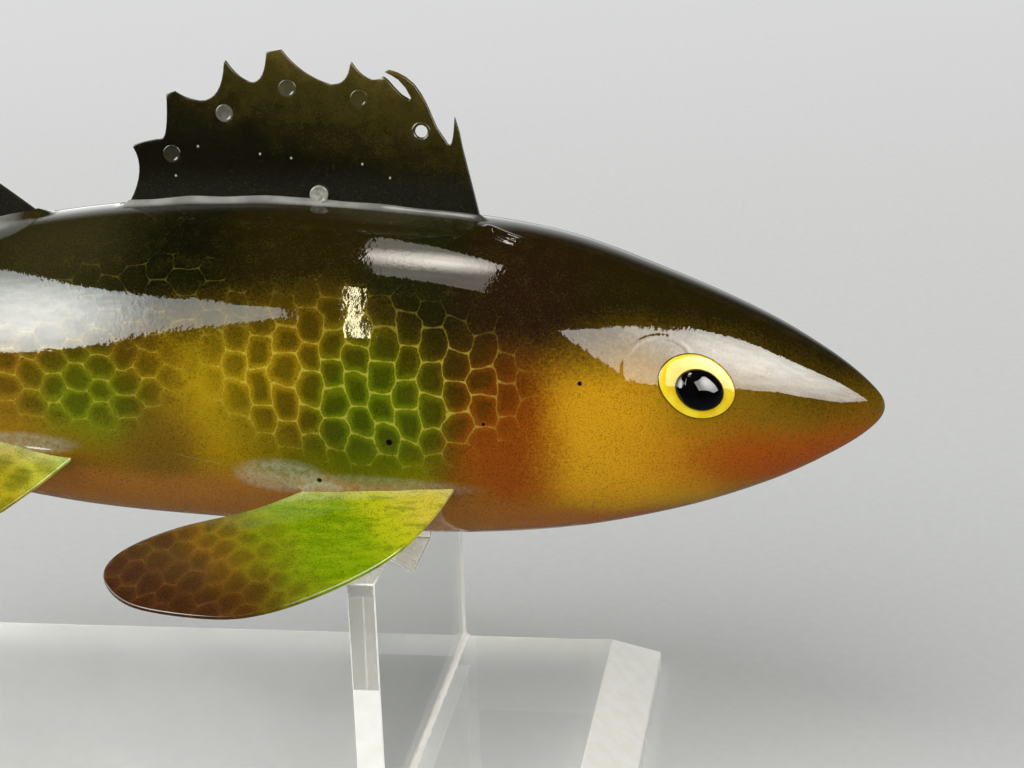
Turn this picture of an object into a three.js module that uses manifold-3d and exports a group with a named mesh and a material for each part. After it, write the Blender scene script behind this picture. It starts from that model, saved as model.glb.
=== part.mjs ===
// A carved and painted wooden fish decoy with sheet metal fins, on a clear acrylic cradle stand.
// Millimetres. +X runs to the fish's nose, +Y to its left side, +Z up from the table.
// The origin is on the table under the middle of the whole object.
import * as THREE from "three";
import { mergeVertices } from "three/addons/utils/BufferGeometryUtils.js";
import Module from "manifold-3d";

const wasm = await Module();
wasm.setup();

// Wooden body.
const bodyLength = 231.5;
const bodyHeight = 58.5;
const bodyWidth = 46.7;
const backRoundness = 2.1; // power of the oval section above the widest line, 2 is an ellipse
const bellyRoundness = 2.4;

// The body's form from nose to wrist, at even steps of the root of the way along it.
// Height of the back and depth of the belly are shares of bodyHeight from the nose's level,
// and breadth is a share of bodyWidth.
const backForm = [0, 0.068, 0.166, 0.285, 0.41, 0.537, 0.602, 0.634, 0.597, 0.465, 0.263];
const bellyForm = [0, 0.063, 0.14, 0.231, 0.316, 0.379, 0.397, 0.366, 0.316, 0.186, 0.027];
const breadthForm = [0, 0.133, 0.308, 0.518, 0.728, 0.912, 0.998, 1, 0.916, 0.642, 0.197];
const bodyRings = 42;
const bodySides = 40;

// Sheet metal fins, and the saw kerfs that hold them.
const sheetThickness = 0.9;
const kerfClearance = 0.3;
const kerfDepth = 5;

// Spiny first dorsal fin.
const dorsalFromNose = 70.7;
const dorsalLength = 63.7;
const dorsalHeight = 27.2;
const kerfRunOut = 6.4; // the saw's run-out in front of the fin
const tieHoleDiameter = 3.1;

// Second dorsal fin.
const secondDorsalFromNose = 151;
const secondDorsalLength = 43;
const secondDorsalHeight = 17;

// Tail fin.
const tailFinLength = 35.5;
const tailFinHeight = 56;
const tailForkDepth = 12;
const tailKerfDepth = 9;

// Paddle shaped side fins.
const pectoralFromNose = 73.5;
const pectoralDrop = 9; // the root's front end, below the nose's level
const pectoralLength = 58.4;
const pectoralReach = 31.7;
const pectoralRoot = 26.9;
const pectoralDroop = 20; // degrees below level
const pectoralTilt = 2.7; // degrees that the root climbs to the nose
const pelvicFromNose = 141.8;
const pelvicDrop = 4.6;
const pelvicLength = 52;
const pelvicReach = 31;
const pelvicRoot = 22;
const pelvicTilt = -5;
const pelvicSweep = 0.42; // how far each millimetre of reach is swept back

// Eyes: an oval disc let into the head, with a domed bead on it.
const eyeFromNose = 32;
const eyeRise = 8.7; // the eye's middle above the nose's level
const eyeLength = 13.4;
const eyeHeight = 11.2;
const eyeThickness = 1.6;
const eyeProud = 0.45;
const pupilLength = 8.4;
const pupilHeight = 7.2;
const pupilForward = 0.4; // the pupil sits a little forward of the disc's middle, and low
const pupilLow = 0.6;
const pupilDome = 1.9;
const pupilSeat = 0.5;
const eyeClearance = 0.15;

// Stand of clear acrylic plate.
const baseLength = 190.5;
const baseDepth = 101.6;
const baseThickness = 9.5;
const bevelRun = 8.9;
const bevelDrop = 6.6;
const uprightThickness = 4.8;
const uprightHeight = 46.2;
const uprightSpacing = 106.7; // between the two plates' middles
const uprightBehindRoot = 13; // the head side plate stands this far behind the pectoral root's front end
const notchDepth = 11.5;
const notchFloorWidth = 16;
const notchSlope = 0.54; // rise of the notch's flanks per millimetre outwards
const glueGap = 0.3;
const restGap = 0.3;

// Where things lie, from the sizes above.
const noseX = (bodyLength + tailFinLength) / 2;
const wristX = noseX - bodyLength;
const armTopZ = baseThickness + glueGap + uprightHeight;
const armOutY = baseDepth / 2 - bevelRun;
const pectoralFrontX = noseX - pectoralFromNose;
const headPlateX = pectoralFrontX - uprightBehindRoot;
const tailPlateX = headPlateX - uprightSpacing;
const standX = (headPlateX + tailPlateX) / 2;
const rad = THREE.MathUtils.degToRad;
const kerfWidth = sheetThickness + 2 * kerfClearance;

// Smooth value between evenly spaced entries of a form, for a share from 0 to 1.
function formAt(form, share) {
  const place = THREE.MathUtils.clamp(share, 0, 1) * (form.length - 1);
  const i = Math.min(Math.floor(place), form.length - 2);
  const f = place - i;
  const before = i > 0 ? form[i - 1] : 2 * form[0] - form[1];
  const after = i + 2 < form.length ? form[i + 2] : 2 * form[i + 1] - form[i];
  const slopeIn = (form[i + 1] - before) / 2;
  const slopeOut = (after - form[i]) / 2;
  const f2 = f * f;
  const f3 = f2 * f;
  const left = (2 * f3 - 3 * f2 + 1) * form[i] + (f3 - 2 * f2 + f) * slopeIn;
  const right = (3 * f2 - 2 * f3) * form[i + 1] + (f3 - f2) * slopeOut;
  return left + right;
}

// The body's section at a share of the form: middle level, half heights and half width, from the nose's level.
function sectionAt(share) {
  const back = formAt(backForm, share) * bodyHeight;
  const belly = formAt(bellyForm, share) * bodyHeight;
  const halfWidth = (formAt(breadthForm, share) * bodyWidth) / 2;
  return { middle: (back - belly) / 2, halfHeight: (back + belly) / 2, halfWidth };
}

function shareAtX(x) {
  return Math.sqrt(THREE.MathUtils.clamp((noseX - x) / bodyLength, 0, 1));
}

// Half the body's width at a place along it and a height from the nose's level.
function sideAt(x, height) {
  const s = sectionAt(shareAtX(x));
  const up = height - s.middle;
  const power = up > 0 ? backRoundness : bellyRoundness;
  const left = 1 - Math.pow(Math.min(Math.abs(up) / s.halfHeight, 1), power);
  return s.halfWidth * Math.pow(left, 1 / power);
}

function backAt(x) {
  const s = sectionAt(shareAtX(x));
  return s.middle + s.halfHeight;
}

// Side fins: a paddle that leaves the root and sweeps back, as shares of its length and reach.
const paddle = [
  [0.6, 0.145],
  [0.822, 0.29],
  [0.973, 0.48],
  [0.993, 0.685],
  [0.878, 0.9],
  [0.64, 1],
  [0.473, 0.965],
  [0.3, 0.8],
  [0.146, 0.552],
  [0.05, 0.26],
];

function paddleEdge(length, reach, root, sweep) {
  const swept = (back, out) => new THREE.Vector2(back * length + sweep * out * reach, out * reach);
  const edge = [new THREE.Vector2(root, 0)];
  for (const [back, out] of paddle) edge.push(swept(back, out));
  edge.push(new THREE.Vector2(0, 0));
  return new THREE.SplineCurve(edge).getPoints(44);
}

// How far out a paddle's edge lies at a place back along its root.
function paddleReachAt(edge, back) {
  let reach = 0;
  for (let i = 1; i < edge.length; i++) {
    const a = edge[i - 1];
    const b = edge[i];
    if ((a.x - back) * (b.x - back) > 0 || a.x === b.x) continue;
    const share = (back - a.x) / (b.x - a.x);
    reach = Math.max(reach, a.y + (b.y - a.y) * share);
  }
  return reach;
}

function paddleShape(edge, root) {
  const shape = new THREE.Shape();
  shape.moveTo(0, -kerfDepth);
  shape.lineTo(root, -kerfDepth);
  for (const p of edge) shape.lineTo(p.x, p.y);
  shape.closePath();
  return shape;
}

// A side fin lies in a plane through its root's front end: how far that plane has dropped at a place.
function planeDrop(x, y, frontX, rootY, droop, tilt) {
  return (y - rootY) * Math.tan(droop) - (x - frontX) * Math.tan(tilt);
}

function halfSheetUpright(droop, tilt) {
  return (sheetThickness / 2) * Math.hypot(1, Math.tan(droop), Math.tan(tilt));
}

// The pectoral fins lie on the outer corners of the head side plate, which sets the fish's height.
// A plate that is wider than the fins carries them under their own outer edge.
const pectoralY = sideAt(pectoralFrontX, -pectoralDrop);
const droopAngle = rad(pectoralDroop);
const tiltAngle = rad(pectoralTilt);
const headTouchX = headPlateX - uprightThickness / 2;
const pectoralEdge = paddleEdge(pectoralLength, pectoralReach, pectoralRoot, 0);
const pectoralAtPlate = paddleReachAt(pectoralEdge, (pectoralFrontX - headTouchX) / Math.cos(tiltAngle));
const headTouchY = Math.min(armOutY, pectoralY + pectoralAtPlate * Math.cos(droopAngle));
const dropAtPlate = planeDrop(headTouchX, headTouchY, pectoralFrontX, pectoralY, droopAngle, tiltAngle);
const noseZ = armTopZ + restGap + halfSheetUpright(droopAngle, tiltAngle) + dropAtPlate + pectoralDrop;

// The pelvic fins droop until they lie on the tail side plate, by its corners or by their own outer edge.
const pelvicFrontX = noseX - pelvicFromNose;
const pelvicY = sideAt(pelvicFrontX, -pelvicDrop);
const pelvicTiltAngle = rad(pelvicTilt);
const tailTouchX = tailPlateX + uprightThickness / 2;
const pelvicEdge = paddleEdge(pelvicLength, pelvicReach, pelvicRoot, pelvicSweep);
const pelvicAtPlate = paddleReachAt(pelvicEdge, (pelvicFrontX - tailTouchX) / Math.cos(pelvicTiltAngle));
const rootRise = (tailTouchX - pelvicFrontX) * Math.tan(pelvicTiltAngle);
const fallToPlate = noseZ - pelvicDrop + rootRise - armTopZ - restGap;
const outToEdge = Math.sqrt(Math.max(pelvicAtPlate ** 2 - fallToPlate ** 2, 0));
const outToPlate = Math.min(armOutY - pelvicY, outToEdge);
const straightDroop = Math.acos(sheetThickness / 2 / Math.hypot(fallToPlate, outToPlate));
const pelvicDroopAngle = straightDroop - Math.atan2(outToPlate, fallToPlate);

// Closed surface through rings of equally many points, with a flat or pointed end at each side.
function loft(rings) {
  const count = rings[0].length;
  const points = rings.flat();
  const first = rings[0].reduce((sum, p) => sum.add(p), new THREE.Vector3()).divideScalar(count);
  const last = rings.at(-1).reduce((sum, p) => sum.add(p), new THREE.Vector3()).divideScalar(count);
  const firstIndex = points.push(first) - 1;
  const lastIndex = points.push(last) - 1;
  const faces = [];
  for (let r = 0; r + 1 < rings.length; r++) {
    for (let i = 0; i < count; i++) {
      const a = r * count + i;
      const b = r * count + ((i + 1) % count);
      faces.push(a, b, b + count, a, b + count, a + count);
    }
  }
  const end = (rings.length - 1) * count;
  for (let i = 0; i < count; i++) {
    const j = (i + 1) % count;
    faces.push(firstIndex, j, i);
    faces.push(lastIndex, end + i, end + j);
  }
  const geometry = new THREE.BufferGeometry().setFromPoints(points);
  geometry.setIndex(faces);
  return geometry;
}

// Booleans: closed geometries become solids, and a solid becomes a geometry again.
function solidOf(geometry) {
  const plain = geometry.clone();
  plain.deleteAttribute("normal");
  plain.deleteAttribute("uv");
  const merged = mergeVertices(plain, 1e-4);
  const made = new wasm.Manifold(
    new wasm.Mesh({
      numProp: 3,
      vertProperties: merged.attributes.position.array,
      triVerts: new Uint32Array(merged.index.array),
    }),
  );
  return made;
}

function geometryOf(solid) {
  const mesh = solid.getMesh();
  const geometry = new THREE.BufferGeometry();
  geometry.setAttribute("position", new THREE.BufferAttribute(new Float32Array(mesh.vertProperties), 3));
  geometry.setIndex(new THREE.BufferAttribute(new Uint32Array(mesh.triVerts), 1));
  geometry.computeVertexNormals();
  return geometry;
}

// A flat sheet standing in the plane of the fish's spine, from an outline of X and Z.
function uprightSheet(shape, thickness) {
  const geometry = new THREE.ExtrudeGeometry(shape, { depth: thickness, bevelEnabled: false, curveSegments: 5 });
  geometry.translate(0, 0, -thickness / 2);
  geometry.rotateX(Math.PI / 2);
  return geometry;
}

function roundHole(centre, radius) {
  const hole = new THREE.Path();
  const corners = 14;
  for (let i = 0; i < corners; i++) {
    const angle = (2 * Math.PI * i) / corners;
    const x = centre.x + radius * Math.cos(angle);
    const y = centre.y + radius * Math.sin(angle);
    if (i === 0) hole.moveTo(x, y);
    else hole.lineTo(x, y);
  }
  hole.closePath();
  return hole;
}

// Wooden body, before the kerfs and eye seats are cut.
function bodyBlank() {
  const rings = [];
  for (let r = 0; r <= bodyRings; r++) {
    const share = Math.max(r / bodyRings, 0.012);
    const s = sectionAt(share);
    const x = noseX - bodyLength * share * share;
    const ring = [];
    for (let i = 0; i < bodySides; i++) {
      const angle = (2 * Math.PI * i) / bodySides;
      const c = Math.cos(angle);
      const u = Math.sin(angle);
      const power = 2 / (u > 0 ? backRoundness : bellyRoundness);
      const y = s.halfWidth * Math.sign(c) * Math.pow(Math.abs(c), power);
      const z = noseZ + s.middle + s.halfHeight * Math.sign(u) * Math.pow(Math.abs(u), power);
      ring.push(new THREE.Vector3(x, y, z));
    }
    rings.push(ring.reverse());
  }
  return loft(rings);
}

// Spiny dorsal fin. Each spine: its place along the fin from the rear, its height and its blunt width,
// then the place and height of the scallop's low point in front of it, all as shares of the fin.
const spines = [
  [0.024, 0.371, 0.004, 0.107, 0.426],
  [0.132, 0.72, 0.023, 0.225, 0.673],
  [0.303, 0.919, 0.004, 0.374, 0.79],
  [0.424, 0.985, 0.041, 0.598, 0.772],
  [0.656, 0.9, 0.004, 0.719, 0.79],
  [0.75, 0.85, 0.1, 0.918, 0.364],
  [0.937, 0.555, 0.004, 0.977, 0.195],
];
// Line tie holes, as shares of the fin's length and height.
const tieHoles = [
  [0.132, 0.331],
  [0.29, 0.603],
  [0.4725, 0.776],
  [0.672, 0.6875],
  [0.84, 0.47],
  [0.546, 0.055],
];

const dorsalFrontX = noseX - dorsalFromNose;
const dorsalRearX = dorsalFrontX - dorsalLength;
const dorsalMiddleX = (dorsalFrontX + dorsalRearX) / 2;
const dorsalBaseZ = noseZ + backAt(dorsalMiddleX);
const dorsalFloorZ = noseZ + Math.min(backAt(dorsalFrontX), backAt(dorsalRearX)) - kerfDepth;

function scallop(shape, toFin, from, low, to) {
  const lead = toFin(from[0] + 0.4 * (low[0] - from[0]), low[1] + 0.25 * (from[1] - low[1]));
  const valley = toFin(low[0], low[1]);
  shape.quadraticCurveTo(lead.x, lead.y, valley.x, valley.y);
  const rise = toFin(to[0] - 0.15 * (to[0] - low[0]), low[1]);
  const tip = toFin(to[0], to[1]);
  shape.quadraticCurveTo(rise.x, rise.y, tip.x, tip.y);
}

function dorsalShape() {
  const toFin = (along, up) =>
    new THREE.Vector2(dorsalRearX + along * dorsalLength, dorsalBaseZ + up * dorsalHeight);
  const shape = new THREE.Shape();
  shape.moveTo(dorsalRearX, dorsalFloorZ);
  const rearFoot = toFin(0, 0);
  shape.lineTo(rearFoot.x, rearFoot.y);
  const waist = toFin(0.06, 0.22);
  const firstTip = toFin(spines[0][0], spines[0][1]);
  shape.quadraticCurveTo(waist.x, waist.y, firstTip.x, firstTip.y);
  spines.forEach(([along, up, blunt, lowAlong, lowUp], i) => {
    const end = toFin(along + blunt, up + (blunt > 0.05 ? -0.08 : 0.015));
    shape.lineTo(end.x, end.y);
    const from = [along + blunt, up];
    const next = spines[i + 1];
    if (next) scallop(shape, toFin, from, [lowAlong, lowUp], [next[0], next[1]]);
    else {
      const knee = toFin(lowAlong, lowUp);
      shape.lineTo(knee.x, knee.y);
    }
  });
  shape.lineTo(dorsalFrontX, noseZ + backAt(dorsalFrontX));
  shape.lineTo(dorsalFrontX, dorsalFloorZ);
  shape.closePath();
  for (const [along, up] of tieHoles) {
    shape.holes.push(roundHole(toFin(along, up), tieHoleDiameter / 2));
  }
  return shape;
}

// Saw kerf along the back under a fin, running out to the surface in front of it.
function backKerf(rearX, frontX, floorZ, runOut) {
  const rear = rearX - kerfClearance;
  const front = frontX + kerfClearance;
  const floor = floorZ - kerfClearance;
  const over = noseZ + bodyHeight;
  const shape = new THREE.Shape();
  shape.moveTo(rear, floor);
  shape.lineTo(front, floor);
  shape.lineTo(front + runOut, noseZ + backAt(front + runOut) + kerfClearance);
  shape.lineTo(front + runOut, over);
  shape.lineTo(rear, over);
  shape.closePath();
  return uprightSheet(shape, kerfWidth);
}

// Second dorsal fin: a low sail with a lightly scalloped edge.
const secondFrontX = noseX - secondDorsalFromNose;
const secondRearX = secondFrontX - secondDorsalLength;
const secondFloorZ = noseZ + Math.min(backAt(secondFrontX), backAt(secondRearX)) - kerfDepth;
const sailTips = [
  [0.44, 1],
  [0.56, 0.97],
  [0.68, 0.9],
  [0.8, 0.8],
  [0.92, 0.66],
  [1.03, 0.5],
];

function secondDorsalShape() {
  const toFin = (along, up) => {
    const x = secondFrontX - along * secondDorsalLength;
    return new THREE.Vector2(x, noseZ + backAt(x) + up * secondDorsalHeight);
  };
  const shape = new THREE.Shape();
  shape.moveTo(secondFrontX, secondFloorZ);
  const foot = toFin(0, 0);
  shape.lineTo(foot.x, foot.y);
  const bulge = toFin(0.26, 0.62);
  const peak = toFin(sailTips[0][0], sailTips[0][1]);
  shape.quadraticCurveTo(bulge.x, bulge.y, peak.x, peak.y);
  for (let i = 1; i < sailTips.length; i++) {
    const [fromAlong, fromUp] = sailTips[i - 1];
    const [toAlong, toUp] = sailTips[i];
    const dip = toFin((fromAlong + toAlong) / 2 + 0.02, Math.min(fromUp, toUp) - 0.08);
    const tip = toFin(toAlong, toUp);
    shape.quadraticCurveTo(dip.x, dip.y, tip.x, tip.y);
  }
  const hollow = toFin(0.93, 0.25);
  const heel = toFin(1, 0);
  shape.quadraticCurveTo(hollow.x, hollow.y, heel.x, heel.y);
  shape.lineTo(secondRearX, secondFloorZ);
  shape.closePath();
  return shape;
}

// Tail fin: two rounded lobes about a shallow fork, with a tongue in the kerf at the wrist.
const wrist = sectionAt(1);
const wristZ = noseZ + wrist.middle;
const tongueHalf = wrist.halfHeight * 0.86;

function tailShape() {
  const toFin = (back, up) =>
    new THREE.Vector2(wristX - back * tailFinLength, wristZ + up * (tailFinHeight / 2));
  const fork = 1 - tailForkDepth / tailFinLength;
  const shape = new THREE.Shape();
  shape.moveTo(wristX + tailKerfDepth, wristZ + tongueHalf);
  shape.lineTo(wristX, wristZ + tongueHalf);
  const upper = [
    toFin(0.35, 0.52),
    toFin(0.7, 1.02),
    toFin(0.94, 1),
    toFin(1.03, 0.97),
    toFin(0.98, 0.72),
  ];
  shape.bezierCurveTo(upper[0].x, upper[0].y, upper[1].x, upper[1].y, upper[2].x, upper[2].y);
  shape.quadraticCurveTo(upper[3].x, upper[3].y, upper[4].x, upper[4].y);
  const steps = [0.48, 0.24, 0, -0.24, -0.48, -0.72];
  let last = 0.72;
  for (const up of steps) {
    const back = fork + (0.98 - fork) * Math.pow(Math.abs(up) / 0.72, 1.3);
    const tip = toFin(back, up);
    const lastBack = fork + (0.98 - fork) * Math.pow(Math.abs(last) / 0.72, 1.3);
    const dip = toFin((back + lastBack) / 2 - 0.05, (up + last) / 2);
    shape.quadraticCurveTo(dip.x, dip.y, tip.x, tip.y);
    last = up;
  }
  const lower = [toFin(1.03, -0.97), toFin(0.94, -1), toFin(0.7, -1.02), toFin(0.35, -0.52)];
  shape.quadraticCurveTo(lower[0].x, lower[0].y, lower[1].x, lower[1].y);
  shape.bezierCurveTo(lower[2].x, lower[2].y, lower[3].x, lower[3].y, wristX, wristZ - tongueHalf);
  shape.lineTo(wristX + tailKerfDepth, wristZ - tongueHalf);
  shape.closePath();
  return shape;
}

function tailKerf() {
  const shape = new THREE.Shape();
  const inner = wristX + tailKerfDepth + kerfClearance;
  shape.moveTo(inner, wristZ - bodyHeight / 2);
  shape.lineTo(inner, wristZ + bodyHeight / 2);
  shape.lineTo(wristX - tailFinLength, wristZ + bodyHeight / 2);
  shape.lineTo(wristX - tailFinLength, wristZ - bodyHeight / 2);
  shape.closePath();
  return uprightSheet(shape, kerfWidth);
}

// Frame of a side fin: X back along the root, Y outwards, Z through the sheet.
function sideFinMatrix(frontX, rootY, rootZ, droop, tilt, side) {
  const back = new THREE.Vector3(-Math.cos(tilt), 0, -Math.sin(tilt));
  const out = new THREE.Vector3(0, side * Math.cos(droop), -Math.sin(droop));
  const through = new THREE.Vector3().crossVectors(back, out).normalize();
  const straightOut = new THREE.Vector3().crossVectors(through, back);
  const matrix = new THREE.Matrix4().makeBasis(back, straightOut, through);
  return matrix.setPosition(frontX, side * rootY, rootZ);
}

function paddleGeometry(shape) {
  const geometry = new THREE.ExtrudeGeometry(shape, { depth: sheetThickness, bevelEnabled: false });
  return geometry.translate(0, 0, -sheetThickness / 2);
}

function rootKerf(root, matrix) {
  const length = root + 2 * kerfClearance;
  const outside = bodyWidth / 4;
  const depth = kerfDepth + kerfClearance + outside;
  const geometry = new THREE.BoxGeometry(length, depth, kerfWidth);
  geometry.translate(root / 2, depth / 2 - kerfDepth - kerfClearance, 0);
  return geometry.applyMatrix4(matrix);
}

// Eyes follow the head's surface. A patch is an oval pad between two levels above that surface.
function bodyLevel(p) {
  const s = sectionAt(shareAtX(p.x));
  const up = p.z - noseZ - s.middle;
  const power = up > 0 ? backRoundness : bellyRoundness;
  const reach = Math.pow(Math.abs(p.y) / s.halfWidth, power) + Math.pow(Math.abs(up) / s.halfHeight, power);
  return reach - 1;
}

function eyeFrame(side) {
  const x = noseX - eyeFromNose;
  const z = noseZ + eyeRise;
  const centre = new THREE.Vector3(x, side * sideAt(x, eyeRise), z);
  const step = 0.05;
  const slope = (axis) => {
    const ahead = centre.clone().addScaledVector(axis, step);
    const behind = centre.clone().addScaledVector(axis, -step);
    return bodyLevel(ahead) - bodyLevel(behind);
  };
  const along = new THREE.Vector3(1, 0, 0);
  const across = new THREE.Vector3(0, 1, 0);
  const upward = new THREE.Vector3(0, 0, 1);
  const out = new THREE.Vector3(slope(along), slope(across), slope(upward)).normalize();
  const forward = along.clone().addScaledVector(out, -along.dot(out)).normalize();
  const lift = new THREE.Vector3().crossVectors(forward, out).multiplyScalar(side);
  return { centre, out, forward, lift };
}

function onHead(frame, a, b) {
  const foot = frame.centre.clone().addScaledVector(frame.forward, a).addScaledVector(frame.lift, b);
  let high = 6;
  let low = -9;
  for (let i = 0; i < 40; i++) {
    const half = (high + low) / 2;
    if (bodyLevel(foot.clone().addScaledVector(frame.out, half)) > 0) high = half;
    else low = half;
  }
  return foot.addScaledVector(frame.out, (high + low) / 2);
}

function eyePatch(side, length, height, bottomLevel, topLevel, forward = 0, low = 0) {
  const frame = eyeFrame(side);
  const around = 28;
  const across = 4;
  const ringAt = (share, level) => {
    const ring = [];
    for (let i = 0; i < around; i++) {
      const angle = (-side * 2 * Math.PI * i) / around;
      const a = forward + (length / 2) * share * Math.cos(angle);
      const b = (height / 2) * share * Math.sin(angle) - low;
      ring.push(onHead(frame, a, b).addScaledVector(frame.out, level(share)));
    }
    return ring;
  };
  const rings = [];
  for (let r = 1; r <= across; r++) rings.push(ringAt(r / across, bottomLevel));
  for (let r = across; r >= 1; r--) rings.push(ringAt(r / across, topLevel));
  return loft(rings);
}

const eyeSeatLevel = -(eyeThickness - eyeProud);
const level = (value) => () => value;
const discTop = (share) => eyeProud * (1 - 0.4 * Math.pow(share, 4));
const pupilFoot = eyeProud - pupilSeat;
const pupilTop = (share) => eyeProud + 0.25 + (pupilDome - 0.25) * Math.sqrt(Math.max(1 - share * share, 0));

function eyeDisc(side) {
  const disc = solidOf(eyePatch(side, eyeLength, eyeHeight, level(eyeSeatLevel), discTop));
  const seatLength = pupilLength + 2 * eyeClearance;
  const seatHeight = pupilHeight + 2 * eyeClearance;
  const foot = level(pupilFoot - eyeClearance);
  const seat = eyePatch(side, seatLength, seatHeight, foot, level(3 * eyeProud), pupilForward, pupilLow);
  return geometryOf(disc.subtract(solidOf(seat)));
}

function pupilBead(side) {
  return eyePatch(side, pupilLength, pupilHeight, level(pupilFoot), pupilTop, pupilForward, pupilLow);
}

function eyeSeat(side) {
  const length = eyeLength + 2 * eyeClearance;
  const height = eyeHeight + 2 * eyeClearance;
  return eyePatch(side, length, height, level(eyeSeatLevel - eyeClearance), level(4 * eyeProud));
}

// Stand: a slab bevelled on all four sides, and two plates with a wide notch.
function baseSlab() {
  const rectangle = (inset, z) => {
    const x = baseLength / 2 - inset;
    const y = baseDepth / 2 - inset;
    const corners = [
      [x, y],
      [-x, y],
      [-x, -y],
      [x, -y],
    ];
    return corners.map(([cx, cy]) => new THREE.Vector3(cx, cy, z));
  };
  return loft([
    rectangle(0, 0),
    rectangle(0, baseThickness - bevelDrop),
    rectangle(bevelRun, baseThickness),
  ]);
}

function uprightPlate() {
  const foot = baseThickness + glueGap;
  const floorZ = armTopZ - notchDepth;
  const notchTopY = notchFloorWidth / 2 + notchDepth / notchSlope;
  const shape = new THREE.Shape();
  shape.moveTo(-armOutY, foot);
  shape.lineTo(armOutY, foot);
  shape.lineTo(armOutY, armTopZ);
  shape.lineTo(notchTopY, armTopZ);
  shape.lineTo(notchFloorWidth / 2, floorZ);
  shape.lineTo(-notchFloorWidth / 2, floorZ);
  shape.lineTo(-notchTopY, armTopZ);
  shape.lineTo(-armOutY, armTopZ);
  shape.closePath();
  const geometry = new THREE.ExtrudeGeometry(shape, { depth: uprightThickness, bevelEnabled: false });
  geometry.translate(0, 0, -uprightThickness / 2);
  geometry.rotateX(Math.PI / 2);
  geometry.rotateZ(Math.PI / 2);
  return geometry;
}

// Materials.
const paintedWood = new THREE.MeshStandardMaterial({ color: 0x8a7a24, roughness: 0.22, metalness: 0 });
const paintedTin = new THREE.MeshStandardMaterial({ color: 0x2c2a18, roughness: 0.35, metalness: 0.1 });
const greenTin = new THREE.MeshStandardMaterial({ color: 0x8fae2c, roughness: 0.3, metalness: 0.1 });
const eyeYellow = new THREE.MeshStandardMaterial({ color: 0xf2dc4a, roughness: 0.15, metalness: 0 });
const pupilBlack = new THREE.MeshStandardMaterial({ color: 0x08080a, roughness: 0.06, metalness: 0 });
const acrylic = new THREE.MeshStandardMaterial({
  color: 0xf2f5f5,
  roughness: 0.05,
  metalness: 0,
  transparent: true,
  opacity: 0.25,
});

const object = new THREE.Group();
const fish = new THREE.Group();
const stand = new THREE.Group();
object.add(fish, stand);

function addPiece(group, name, geometry, material) {
  const mesh = new THREE.Mesh(geometry, material);
  mesh.name = name;
  group.add(mesh);
  return mesh;
}

// Fins on the spine.
addPiece(fish, "dorsal_fin", uprightSheet(dorsalShape(), sheetThickness), paintedTin);
addPiece(fish, "second_dorsal_fin", uprightSheet(secondDorsalShape(), sheetThickness), paintedTin);
addPiece(fish, "tail_fin", uprightSheet(tailShape(), sheetThickness), greenTin);

// Side fins, eyes and the seats they need in the wood.
const cuts = [
  backKerf(dorsalRearX, dorsalFrontX, dorsalFloorZ, kerfRunOut),
  backKerf(secondRearX, secondFrontX, secondFloorZ, 0),
  tailKerf(),
];
const pectoral = paddleShape(pectoralEdge, pectoralRoot);
const pelvic = paddleShape(pelvicEdge, pelvicRoot);
for (const [word, side] of [["left", 1], ["right", -1]]) {
  const pectoralMatrix = sideFinMatrix(
    pectoralFrontX, pectoralY, noseZ - pectoralDrop, droopAngle, tiltAngle, side,
  );
  const pelvicMatrix = sideFinMatrix(
    pelvicFrontX, pelvicY, noseZ - pelvicDrop, pelvicDroopAngle, pelvicTiltAngle, side,
  );
  const pectoralFin = addPiece(fish, "pectoral_fin_" + word, paddleGeometry(pectoral), greenTin);
  pectoralMatrix.decompose(pectoralFin.position, pectoralFin.quaternion, pectoralFin.scale);
  const pelvicFin = addPiece(fish, "pelvic_fin_" + word, paddleGeometry(pelvic), greenTin);
  pelvicMatrix.decompose(pelvicFin.position, pelvicFin.quaternion, pelvicFin.scale);
  cuts.push(rootKerf(pectoralRoot, pectoralMatrix), rootKerf(pelvicRoot, pelvicMatrix));
  addPiece(fish, "eye_" + word, eyeDisc(side), eyeYellow);
  addPiece(fish, "pupil_" + word, pupilBead(side), pupilBlack);
  cuts.push(eyeSeat(side));
}
let wood = solidOf(bodyBlank());
for (const cut of cuts) wood = wood.subtract(solidOf(cut));
addPiece(fish, "body", geometryOf(wood), paintedWood);

// Stand.
const slab = addPiece(stand, "stand_base", baseSlab(), acrylic);
slab.position.x = standX;
const headPlate = addPiece(stand, "stand_upright_head", uprightPlate(), acrylic);
headPlate.position.x = headPlateX;
const tailPlate = addPiece(stand, "stand_upright_tail", uprightPlate(), acrylic);
tailPlate.position.x = tailPlateX;

export default object;
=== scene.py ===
# %% [markdown]
# # A painted fish decoy on a clear stand
# The real thing is a carved basswood fish, about 27 cm long, with fins cut from sheet steel and set in saw
# kerfs with epoxy. It was airbrushed, sprayed through netting for the scales, and dipped in clear lacquer.
# It lies in a cradle of cut and cemented acrylic plate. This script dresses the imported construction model.
# The nose, the body's length, the fins' planes and the stand's plates are read from the model's own nodes,
# so each piece lies where that model has it.

# %% Load the construction model
import math
import bmesh
import bpy
from mathutils import Matrix, Vector, noise
from mathutils.geometry import delaunay_2d_cdt


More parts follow.
